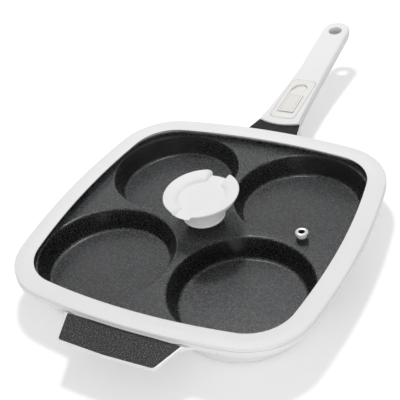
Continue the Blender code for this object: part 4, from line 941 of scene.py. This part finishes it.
ring_section = [
    (2.8, VENT_LOW - 0.3, 0.1),
    (5.2, VENT_LOW - 0.3, 0.25),
    (5.1, VENT_LOW + 0.2, 0.5),
    (3.9, VENT_LOW + 0.6, 0.6),
    (2.8, VENT_LOW + 0.4, 0.4),
]
tube_section = [(2.3, 2.0, 0.15), (3.3, 2.0, 0.15), (3.3, VENT_LOW, 0.1), (2.3, VENT_LOW, 0.1)]
washer_section = [
    (3.6, GLASS_LOW, 0.1),
    (4.3, GLASS_LOW, 0.1),
    (4.3, GLASS_TOP + 0.3, 0.0),
    (5.4, GLASS_TOP + 0.3, 0.15),
    (5.4, WASHER_TOP, 0.25),
    (3.6, WASHER_TOP, 0.1),
]
for name, section, steps, material, node_name, slot in (
        ("vent_ring", ring_section, 6, rolled_steel, "vent_eyelet", "bare_steel"),
        ("vent_tube", tube_section, 4, painted_shade_steel, "vent_eyelet", "bare_steel"),
        ("vent_washer", washer_section, 5, silicone, "vent_grommet", "white_silicone")):
    turned = turned_grid(rounded(section, steps, closed=True), VENT, 64, wrap_rows=True)
    piece(name, [turned], material, "lid", [node_name], slot)

# %% [markdown]
# ## Lines that shape the handle
# Seen from the side, the handle's top climbs gently and bends up past the latch.
# Seen from above, it is wide at its mouth, slims to a neck and ends in a half circle,
# and its front lip is a shallow arc that lies over the bracket. Three functions hold
# these lines, and every handle piece is built on them.

# %% Handle lines
HANDLE_Y = 168.3
HANDLE_FRONT_TOP = 3.6
HANDLE_RISE = 0.072
HANDLE_RISE_END = 0.145
BEND_START = 61.0
BEND_LENGTH = 50.0
HANDLE_LENGTH = 182.5
END_RADIUS = 15.1
FRONT_HALF = 20.6
NECK_HALF = 15.3
NECK_START = 100.0
LIP_REACH = 6.8
LIP_BOW = 4.7
HANDLE_THICKNESS = 16.0
SPLIT_DEPTH = 7.0
END_MIDDLE = HANDLE_Y + HANDLE_LENGTH - END_RADIUS


def handle_top(y):
    """Height of the top at y: a straight rise whose slope grows evenly along the bend."""
    along = y - HANDLE_Y
    bend = np.clip(along - BEND_START, 0.0, BEND_LENGTH)
    beyond = np.maximum(along - BEND_START - BEND_LENGTH, 0.0)
    gain = HANDLE_RISE_END - HANDLE_RISE
    return HANDLE_FRONT_TOP + HANDLE_RISE * along + gain * (bend ** 2 / (2.0 * BEND_LENGTH) + beyond)


def handle_half(y):
    """Half width at y: the neck plus a flare that fades with the power 1.6, then the end circle's own."""
    share = np.minimum((y - HANDLE_Y) / NECK_START, 1.0)
    half = NECK_HALF + (FRONT_HALF - NECK_HALF) * (1.0 - share) ** 1.6
    late = np.clip((y - END_MIDDLE + 40.0) / 40.0, 0.0, 1.0)
    return half - (NECK_HALF - END_RADIUS) * smooth(late)


LINE_START = 321.0
PATCH_LINE = 248.0


def side_line(start):
    """Right side of the outline from y = start to the end circle, with points on the patches' borders."""
    stretches = ((start, PATCH_LINE, 80), (PATCH_LINE, LINE_START, 40), (LINE_START, END_MIDDLE, 12))
    y = np.concatenate([np.linspace(*stretch, endpoint=False) for stretch in stretches])
    turn = np.linspace(0.0, np.pi / 2.0, 26)
    end = np.column_stack([END_RADIUS * np.cos(turn), END_MIDDLE + END_RADIUS * np.sin(turn)])
    return np.concatenate([np.column_stack([handle_half(y), y]), end])


print("handle end at y =", HANDLE_Y + HANDLE_LENGTH, "mm, top there", np.round(handle_top(350.8), 1), "mm")

# %% [markdown]
# ## Upper shell of the handle
# The top half is a thin moulded skin with a rolled upper edge. Its outline runs once
# round: the bowed lip, the right side, the end circle and the left side. Along it a
# section is carried whose rounding is tight at the lip and soft on the sides. The
# flat of the top is then filled by three patches: one round the latch's pocket, a
# plain one, and one round the hanging hole.

# %% Outline of the upper shell
LIP_LOW = 1.5
lip_front = HANDLE_Y - LIP_REACH
bow_radius = (FRONT_HALF ** 2 + LIP_BOW ** 2) / (2.0 * LIP_BOW)
lip_x = np.linspace(0.0, FRONT_HALF - 2.8, 46)
lip_y = lip_front + bow_radius - np.sqrt(bow_radius ** 2 - lip_x ** 2)
corner_y = lip_front + bow_radius - np.sqrt(bow_radius ** 2 - FRONT_HALF ** 2)
lip_line = [(x, y, 0.0) for x, y in zip(lip_x, lip_y)]
lip_line += [(handle_half(corner_y), corner_y, 1.7), (handle_half(HANDLE_Y - 0.04), HANDLE_Y - 0.04, 0.0)]
right_line = np.concatenate([rounded(lip_line, 6), side_line(HANDLE_Y)])
upper_loop = mirrored(right_line)
print("upper outline:", len(upper_loop), "points")

# %% Section and patches
def section_rings(loop, out, edge, depth, rows_down):
    """Rings from a depth up the side and round the top edge, whose radius may differ from point to point."""
    shares = np.linspace(0.0, 1.0, rows_down, endpoint=False)
    rings = [(0.0, depth + (edge - depth) * share) for share in shares]
    points = []
    for inset, below in rings + edge_turn(edge, 9):
        flat = loop - out * np.broadcast_to(inset, len(loop))[:, None]
        points.append(level(flat, handle_top(flat[:, 1]) - below))
    return np.array(points)


def patch_round(hole_rows, border, rows, below=0.0):
    """Grid from a hole's rings out to a border: straight lines in plan, a depth below the top's own line."""
    last = hole_rows[-1][:, :2]
    rings = list(hole_rows)
    for share in np.linspace(0.0, 1.0, rows + 1)[1:]:
        flat = last * (1.0 - share) + border * share
        rings.append(level(flat, handle_top(flat[:, 1]) - below))
    return np.array(rings)


def plain_patch(right, left, below=0.0):
    """Grid between the two sides of a flat, a depth below the top's own line."""
    share = np.linspace(0.0, 1.0, 49)[None, :, None]
    flat = right[:, None] * (1.0 - share) + left[:, None] * share
    return np.concatenate([flat, handle_top(flat[..., 1:]) - below], axis=-1)


def across(start, end, count=47):
    """Points strictly between two ends, evenly spaced."""
    share = np.linspace(0.0, 1.0, count + 2)[1:-1, None]
    return start * (1.0 - share) + end * share


def row_at(line, y):
    """Number of the point on the right side nearest to y, leaving out the end circle's inner part."""
    return int(np.argmin(np.abs(line[:, 1] - y) + (line[:, 0] < 10.0)))


# %% Hanging hole
HANG_INSET = 17.2
HANG_MIDDLE = HANDLE_Y + HANDLE_LENGTH - HANG_INSET
HANG_RADIUS = 7.0
hang_turn = np.arctan(HANDLE_RISE_END)


def hang_ring(radius, below, angles):
    """Ring of the tilted hanging hole: a circle square to the handle's rear slope, sunk along its axis."""
    flat_x, flat_y = radius * np.cos(angles), radius * np.sin(angles)
    back = flat_y * np.cos(hang_turn) + below * np.sin(hang_turn)
    height = handle_top(HANG_MIDDLE) + flat_y * np.sin(hang_turn) - below * np.cos(hang_turn)
    return np.column_stack([flat_x, HANG_MIDDLE + back, height])


def hang_patch(edge, first, last, shift, bore, rows, below=0.0):
    """Grid from the hole out to the flat's rear border: bore gives (radius more, depth) of its rings."""
    border = np.concatenate([edge[first:last + 1], across(edge[last], edge[first])])
    angles = np.arctan2(*(border - np.array([0.0, HANG_MIDDLE + shift])).T[::-1])
    rings = [hang_ring(HANG_RADIUS + more, depth, angles) for more, depth in bore]
    return patch_round(rings, border, rows, below)


print("hanging hole at y =", HANG_MIDDLE, "mm")

# %% Upper shell
LATCH_TILT = np.arctan(HANDLE_RISE)
POCKET_DEPTH = 2.9
POCKET_HALF, POCKET_START, POCKET_END, POCKET_CORNER = 13.5, 3.1, 72.1, 6.0


def latch_place(points):
    """From the latch's tilted frame (right, back, up) to the pan's: turned about x by the tilt."""
    right, back, up = points[..., 0], points[..., 1], points[..., 2]
    return np.stack([
        right,
        HANDLE_Y + back * np.cos(LATCH_TILT) - up * np.sin(LATCH_TILT),
        HANDLE_FRONT_TOP + back * np.sin(LATCH_TILT) + up * np.cos(LATCH_TILT)], axis=-1)


def rounded_rectangle(half, start, end, radius, steps=10):
    """Closed anticlockwise outline of a rectangle with rounded corners, on the centre line."""
    corners = [(0.0, start, 0.0), (half, start, radius), (half, end, radius), (0.0, end, 0.0)]
    return closed_outline(corners, steps, 0.8)


upper_out = outward(upper_loop)
upper_out[0] = (0.0, -1.0)
nearness = np.clip((upper_loop[:, 1] - HANDLE_Y) / 12.0, 0.0, 1.0)
lateness = np.clip((upper_loop[:, 1] - HANDLE_Y - 76.0) / 16.0, 0.0, 1.0)
edge_radius = 1.1 + 0.8 * smooth(nearness) + 1.1 * smooth(lateness)
side_depth = np.where(upper_loop[:, 1] < HANDLE_Y - 0.02, handle_top(upper_loop[:, 1]) - LIP_LOW, SPLIT_DEPTH)
upper_rings = section_rings(upper_loop, upper_out, edge_radius, side_depth, 4)
flat_edge = upper_rings[-1][:, :2]

right_first, right_second = row_at(right_line, PATCH_LINE), row_at(right_line, LINE_START)
left_first, left_second = len(upper_loop) - right_first, len(upper_loop) - right_second

front_across = across(flat_edge[right_first], flat_edge[left_first])
front_border = np.concatenate([flat_edge[:right_first + 1], front_across, flat_edge[left_first:]])
bezel_middle = np.array([0.0, HANDLE_Y + 37.6])
angles = np.arctan2(*(front_border - bezel_middle).T[::-1])
pocket_line = rounded_rectangle(POCKET_HALF, POCKET_START, POCKET_END, POCKET_CORNER)
pocket_rows = []
for inset, up in ((0.0, -POCKET_DEPTH), (0.0, -0.9), (0.0, -0.25), (-0.07, -0.07), (-0.25, 0.0)):
    flat = latch_place(level(pocket_line - outward(pocket_line) * inset, up))
    ring = by_angle(flat[:, :2], bezel_middle, angles)
    pocket_rows.append(level(ring, handle_top(ring[:, 1]) + up))

bore = [(0.0, depth) for depth in (SPLIT_DEPTH - 0.2, 4.5, 2.4, 1.2)] + edge_turn(1.0, 7)
piece("upper_shell", [
    grid(upper_rings, turned=True),
    grid(patch_round(pocket_rows, front_border, 4)),
    grid(plain_patch(flat_edge[right_first:right_second + 1], flat_edge[left_second:left_first + 1][::-1]),
         wrap_columns=False),
    grid(hang_patch(flat_edge, right_second, left_second, 0.0, bore, 5))],
      grip_plastic, "handle", ["handle_upper_shell"], "white_plastic", 1.7)

# %% [markdown]
# ## Lower shell of the handle
# The lower half closes the handle from below. Its section is deeper and rounder, and
# it is carried only from the flat front round the end circle and back, because its
# front is closed by a separate wall. A shadow line of 0.3 mm shows between the shells.

# %% Lower shell
DRAFT = 1.2
BOTTOM_ROUND = 6.0

under_right = side_line(HANDLE_Y)
under_loop = np.concatenate([under_right, under_right[:-1][::-1] * (-1, 1)])
tangent = np.gradient(under_loop, axis=0)
under_out = np.column_stack([tangent[:, 1], -tangent[:, 0]]) / np.hypot(*tangent.T)[:, None]
under_out[0], under_out[-1] = (1.0, 0.0), (-1.0, 0.0)
low_start = SPLIT_DEPTH + 0.3
low_end = HANDLE_THICKNESS - BOTTOM_ROUND
steps = [(DRAFT * share, low_start + (low_end - low_start) * share) for share in (0.0, 0.5, 1.0)]
steps += [(DRAFT + inset, HANDLE_THICKNESS - rest) for inset, rest in edge_turn(BOTTOM_ROUND, 13)[1:]]
under_rings = []
for inset, below in steps:
    flat = under_loop - under_out * inset
    under_rings.append(level(flat, handle_top(flat[:, 1]) - below))
under_edge = under_rings[-1][:, :2]

first = row_at(under_right, LINE_START)
last = len(under_loop) - 1 - first
floor_patch = plain_patch(under_edge[:first + 1], under_edge[last:][::-1], HANDLE_THICKNESS)
bore = [(0.0, depth) for depth in (SPLIT_DEPTH + 0.5, 10.0, 13.0, 14.6)]
bore += [(inset, HANDLE_THICKNESS - rest) for inset, rest in edge_turn(1.0, 7)]
piece("lower_shell", [
    grid(np.array(under_rings), wrap_columns=False),
    grid(floor_patch, wrap_columns=False, turned=True),
    grid(hang_patch(under_edge, first, last, 2.3, bore, 4, HANDLE_THICKNESS), turned=True)],
      grip_plastic, "handle", ["handle_lower_shell"], "white_plastic", 1.7)

# %% [markdown]
# ## Front wall of the handle
# When the handle is off, its front shows a wall with a mouth for the tongue, lined by
# a steel sleeve. It is another plate with a hole, standing upright: its outline is
# the handle's own front section, drawn in a little.

# %% Front wall
WALL_INSET = 0.9
WALL_LOW = HANDLE_FRONT_TOP - HANDLE_THICKNESS + 0.8
WALL_TOP = HANDLE_FRONT_TOP - 1.0
MOUTH_HALF, MOUTH_LOW, MOUTH_TOP = 10.4, -8.0, -2.0

wall_outline = closed_outline([
    (0.0, WALL_LOW, 0.0),
    (FRONT_HALF - DRAFT - WALL_INSET, WALL_LOW, 5.2),
    (FRONT_HALF - WALL_INSET, HANDLE_FRONT_TOP - SPLIT_DEPTH, 0.0),
    (FRONT_HALF - WALL_INSET, WALL_TOP, 1.0),
    (0.0, WALL_TOP, 0.0),
], 10, 0.5)
mouth_outline = closed_outline([
    (0.0, MOUTH_LOW, 0.0),
    (MOUTH_HALF, MOUTH_LOW, 0.6),
    (MOUTH_HALF, MOUTH_TOP, 0.6),
    (0.0, MOUTH_TOP, 0.0),
], 5, 0.3)
mouth_middle = np.array([0.0, (MOUTH_LOW + MOUTH_TOP) / 2.0])
angles = np.linspace(-np.pi, np.pi, 200, endpoint=False)
wall_rows = holed_plate(by_angle(wall_outline, mouth_middle, angles),
                        by_angle(mouth_outline, mouth_middle, angles), HANDLE_Y + 0.25, HANDLE_Y + 2.6, 0.3)
piece("handle_front_wall", [grid(wall_rows[..., [0, 2, 1]], wrap_rows=True)],
      grip_plastic, "handle", ["handle_lower_shell"], "white_plastic")

# %% [markdown]
# ## The latch's bezel
# A cream frame sits flush in the handle's top. A fine groove runs parallel to its
# edge, and a recess with an arched rear holds the slider. Behind the slider the floor
# dips, and a curved slot opens there, to give room to a fingertip. It is one closed
# band of rings: up the outside, across the top, down into the recess and through the
# opening for the slider's stem.

# %% Bezel
BEZEL_HALF, BEZEL_START, BEZEL_END, BEZEL_CORNER = 13.2, 3.4, 71.8, 6.0
BEZEL_TOP, BEZEL_LOW, BEZEL_EDGE = 0.2, -1.8, 0.35
OPENING_HALF, OPENING_START, OPENING_END = 2.9, 27.0, 43.9
RECESS_HALF, RECESS_START, RECESS_FLOOR = 8.7, 11.8, -1.0
ARCH_START, ARCH_LENGTH = 53.2, 11.7
DIP, SLOT_FLOOR = 1.35, -2.65
SLOT_MIDDLE, SLOT_TURN = 57.6, np.radians(38.0)

arch_turn = np.linspace(0.0, np.pi / 2.0, 26)
arch = np.column_stack([RECESS_HALF * np.cos(arch_turn), ARCH_START + ARCH_LENGTH * np.sin(arch_turn)])
recess_side = rounded([
    (0.0, RECESS_START, 0.0), (RECESS_HALF, RECESS_START, 0.9), (RECESS_HALF, ARCH_START, 0.0)], 5)
recess_line = mirrored(np.concatenate([spread(recess_side, 0.8)[:-1], arch]))
latch_middle = np.array([0.0, 38.0])
angles = np.linspace(-np.pi, np.pi, 320, endpoint=False)
bezel_outline = rounded_rectangle(BEZEL_HALF, BEZEL_START, BEZEL_END, BEZEL_CORNER)
outer = by_angle(bezel_outline, latch_middle, angles)
recess = by_angle(recess_line, latch_middle, angles)
opening = rounded_rectangle(OPENING_HALF, OPENING_START, OPENING_END, 0.5, 4)
stem = by_angle(opening, latch_middle, angles)
outer_out, recess_out = outward(outer), outward(recess)


def underside(line):
    """Height of the frame's underside, which goes down 0.95 mm further under the arch."""
    return BEZEL_LOW - 0.95 * np.clip((line[:, 1] - 50.0) / 6.0, 0.0, 1.0)


# %% Rings of the bezel
low = underside(outer)
band = [(outer - 0.1 * outer_out, low), (outer, low + 0.1), (outer, BEZEL_TOP - BEZEL_EDGE)]
band += [(outer - inset * outer_out, BEZEL_TOP - drop) for inset, drop in edge_turn(BEZEL_EDGE, 5)[1:]]
groove = ((1.7, 0.0), (1.85, 0.06), (1.95, 0.22), (2.1, 0.25), (2.25, 0.22), (2.35, 0.06), (2.5, 0.0))
band += [(outer - inset * outer_out, BEZEL_TOP - drop) for inset, drop in groove]
lip = ((1.0, 0.0), (0.35, 0.0), (0.18, 0.05), (0.05, 0.18), (0.0, 0.35))
band += [(recess + gap * recess_out, BEZEL_TOP - drop) for gap, drop in lip]
foot = RECESS_FLOOR - DIP * smooth(np.clip((recess[:, 1] - 50.0) / 9.0, 0.0, 1.0))
slot_angle = np.arctan2(recess[:, 1] - SLOT_MIDDLE, recess[:, 0]) - SLOT_TURN
slot = np.where(np.abs(slot_angle) < 1.2, np.cos(slot_angle * 1.3), 0.0) ** 2
slot_foot = foot + (SLOT_FLOOR - foot) * np.clip(4.0 * slot, 0.0, 1.0)
band += [(recess, slot_foot + 0.3), (recess - 0.08 * recess_out, slot_foot)]
slot_edge = foot + 0.3 * slot
band += [(recess - (gap + wide * slot)[:, None] * recess_out, height)
         for gap, wide, height in ((0.12, 0.95, slot_foot), (0.2, 0.97, slot_edge), (0.45, 1.0, slot_edge))]
band += [(recess * (1.0 - part) + stem * part, foot + (RECESS_FLOOR - foot) * min(1.4 * part, 1.0))
         for part in (0.3, 0.5, 0.72)]
band += [(stem, RECESS_FLOOR), (stem, BEZEL_LOW), (recess, underside(recess))]
rows = np.array([level(line, height) for line, height in band])
piece("latch_frame", [grid(latch_place(rows), wrap_rows=True)],
      cream_plastic, "handle", ["latch_bezel"], "cream_plastic")

# %% [markdown]
# ## The slider and its panel
# The thumb draws this block back to free the handle. It is a slab whose top holds a
# shallow seat, and in the seat lies a slightly warmer panel.

# %% Slider
SLIDER_HALF, SLIDER_START, SLIDER_END = 8.25, 14.7, 45.5
SLIDER_LOW, SLIDER_TOP, SEAT_INSET, SEAT_FLOOR = -0.7, 0.45, 1.9, -0.15
STEM_HALF, STEM_START, STEM_END, STEM_LOW, STEM_TOP = 2.6, 27.3, 36.3, -3.6, -0.5
PANEL_HALF, PANEL_START, PANEL_END, PANEL_LOW, PANEL_TOP = 6.1, 16.85, 43.35, -0.1, 0.4

slider_middle = np.array([0.0, (SLIDER_START + SLIDER_END) / 2.0])
angles = np.linspace(-np.pi, np.pi, 240, endpoint=False)
slider_section = rounded([
    (1.0, SLIDER_LOW, 0.0),
    (0.0, SLIDER_LOW, 0.15),
    (0.0, SLIDER_TOP, 0.3),
    (SEAT_INSET, SLIDER_TOP, 0.12),
    (SEAT_INSET, SEAT_FLOOR, 0.1),
    (SEAT_INSET + 0.9, SEAT_FLOOR, 0.0),
], 4)
slider_rings = []
for inset, height in slider_section:
    corner = max(0.9 - 0.4 * inset, 0.3)
    line = rounded_rectangle(SLIDER_HALF - inset, SLIDER_START + inset, SLIDER_END - inset, corner, 6)
    slider_rings.append(level(by_angle(line, slider_middle, angles), height))
block = capped(slider_rings, slider_middle)
stem_block = slab(rounded_rectangle(STEM_HALF, STEM_START, STEM_END, 0.4, 4), STEM_LOW, STEM_TOP, 0.1, 0.3)
piece("latch_thumb_slider", [grid(latch_place(block)), grid(latch_place(stem_block))],
      cream_plastic, "latch", ["latch_slider"], "cream_plastic")
panel = slab(rounded_rectangle(PANEL_HALF, PANEL_START, PANEL_END, 0.6, 5), PANEL_LOW, PANEL_TOP, 0.12, 0.05)
piece("slider_panel", [grid(latch_place(panel))], panel_plastic, "latch", ["slider_plate"], "cream_plastic")

# %% [markdown]
# ## Small parts kept from the frame
# Screws, seals, the carriage, the pawl with its pin and spring, and the steel sleeve
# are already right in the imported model, because nobody sees them before the pan is
# taken apart. They keep their meshes and only get a finish.

# %% Finishes of the kept parts
steel_names = ("screw_washer", "knob_screw", "handle_screw_front_left", "handle_screw_front_right",
               "handle_screw_rear", "carriage_screw", "socket_sleeve", "latch_pawl", "pawl_pin", "latch_spring")
kept = dict.fromkeys(steel_names, rolled_steel)
# The vent's collar gets the steel with painted shade.
kept.update(lid_glass=glass, knob_seal=silicone, screw_seal=silicone, knob_insert=brass,
            vent_collar=painted_shade_steel, latch_carriage=cream_plastic)
for name, material in kept.items():
    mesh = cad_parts[name].data
    mesh.materials.clear()
    mesh.materials.append(material)
print(len(kept), "kept parts have their finish")

# %% [markdown]
# ## Floor
# The pan stands on a seamless white table. The floor is a large plane of matt paint
# that takes the shadows, and for the camera and for reflections it also glows a
# little, which lifts it to white where no shadow falls, without lighting the pan.

# %% Floor
FLOOR_GLOW = 0.34
paint, tree, shader = finish("white table", Roughness=0.9)
shader.inputs["Specular IOR Level"].default_value = 0.1
swing(tree, shader, "Base Color", grain(tree, 400.0), (0.79, 0.79, 0.79), (0.80, 0.80, 0.80))
glow = node(tree, "ShaderNodeMath", operation="MULTIPLY")
glow.inputs[1].default_value = FLOOR_GLOW
seen = any_ray(tree, "Is Camera Ray", "Is Glossy Ray", "Is Transmission Ray")
tree.links.new(seen, glow.inputs[0])
shine = node(tree, "ShaderNodeEmission")
tree.links.new(glow.outputs["Value"], shine.inputs["Strength"])
both = node(tree, "ShaderNodeAddShader")
tree.links.new(shader.outputs["BSDF"], both.inputs[0])
tree.links.new(shine.outputs["Emission"], both.inputs[1])
tree.links.new(both.outputs["Shader"], tree.nodes["Material Output"].inputs["Surface"])

side = np.linspace(-6.0, 6.0, 13)
ground = bpy.data.meshes.new("floor")
flat = np.stack([*np.meshgrid(side, side, indexing="ij"), np.full((13, 13), -0.0004)], axis=-1)
ground.from_pydata(flat.reshape(-1, 3), [], quads(13, 13, False, False).tolist())
ground.materials.append(paint)
floor = bpy.data.objects.new("floor", ground)
bpy.context.scene.collection.objects.link(floor)
print("floor is", side[-1] - side[0], "m wide")

# %% [markdown]
# ## Light
# A soft box high behind and to the left of the pan gives the main light, as in a
# product studio, and its shadows fall to the right and forwards. A second one stands
# low in front and lights the walls that face the camera. The world is white to the
# eye and a weaker even fill for everything else.

# %% Light
def place_object(name, data, right, up, away, place):
    """Shows a lamp or camera at a place in metres, its own x, y and z axes along three directions."""
    matrix = np.eye(4)
    matrix[:3] = np.column_stack([right, up, away, place])
    thing = bpy.data.objects.new(name, data)
    thing.matrix_world = Matrix(matrix.tolist())
    bpy.context.scene.collection.objects.link(thing)
    return thing


def soft_box(name, place, target, size, power):
    """A square area lamp at a place, turned so that its -Z axis points at the target."""
    lamp = bpy.data.lights.new(name, "AREA")
    lamp.shape = "SQUARE"
    lamp.size = size
    lamp.energy = power
    away = np.array(place) - np.array(target)
    away /= np.linalg.norm(away)
    right = np.cross((0.0, 0.0, 1.0), away)
    right /= np.linalg.norm(right)
    place_object(name, lamp, right, np.cross(away, right), away, place)


soft_box("key box", (-0.30, 0.47, 1.35), (0.0, 0.0, 0.0), 0.19, 9.7)
soft_box("front box", (0.75, -1.35, 0.14), (0.0, 0.0, 0.02), 0.24, 6.0)

FILL = 0.54
world = bpy.data.worlds.new("studio")
world.use_nodes = True
tree = world.node_tree
background = tree.nodes["Background"]
background.inputs["Color"].default_value = (1.0, 1.0, 1.0, 1.0)
seen = any_ray(tree, "Is Camera Ray", "Is Transmission Ray", "Is Glossy Ray")
lift = node(tree, "ShaderNodeMath", operation="MULTIPLY_ADD")
lift.inputs[1].default_value = 1.0 - FILL
lift.inputs[2].default_value = FILL
tree.links.new(seen, lift.inputs[0])
tree.links.new(lift.outputs["Value"], background.inputs["Strength"])
bpy.context.scene.world = world
print("world fill is", FILL)

# %% [markdown]
# ## Camera
# The camera was found by matching the pan's known outline with the photograph: its
# place, the direction it looks in, a slight roll to the left, and a lens of about
# 75 mm on a 36 mm wide sensor.

# %% Camera
CAMERA_AZIMUTH = np.radians(32.37)
CAMERA_HEIGHT = np.radians(36.47)
CAMERA_ROLL = np.radians(-9.03)
CAMERA_DISTANCE = 752.71
CAMERA_TARGET = np.array([-19.42, 27.61, 0.0])
LENS_LENGTH = 75.10
SENSOR_WIDTH = 36.0
away = np.array([np.sin(CAMERA_AZIMUTH) * np.cos(CAMERA_HEIGHT),
                 -np.cos(CAMERA_AZIMUTH) * np.cos(CAMERA_HEIGHT), np.sin(CAMERA_HEIGHT)])
right = np.array([np.cos(CAMERA_AZIMUTH), np.sin(CAMERA_AZIMUTH), 0.0])
up = np.cross(away, right)
turned_right = np.cos(CAMERA_ROLL) * right + np.sin(CAMERA_ROLL) * up
turned_up = np.cos(CAMERA_ROLL) * up - np.sin(CAMERA_ROLL) * right
place = (CAMERA_TARGET + away * CAMERA_DISTANCE + DECK_MIDDLE) * MM
lens = bpy.data.cameras.new("camera")
lens.lens = LENS_LENGTH
lens.sensor_width = SENSOR_WIDTH
camera = place_object("camera", lens, turned_right, turned_up, away, place)
bpy.context.scene.camera = camera
bpy.context.scene.view_settings.view_transform = "Standard"
print("camera at", place.round(3))

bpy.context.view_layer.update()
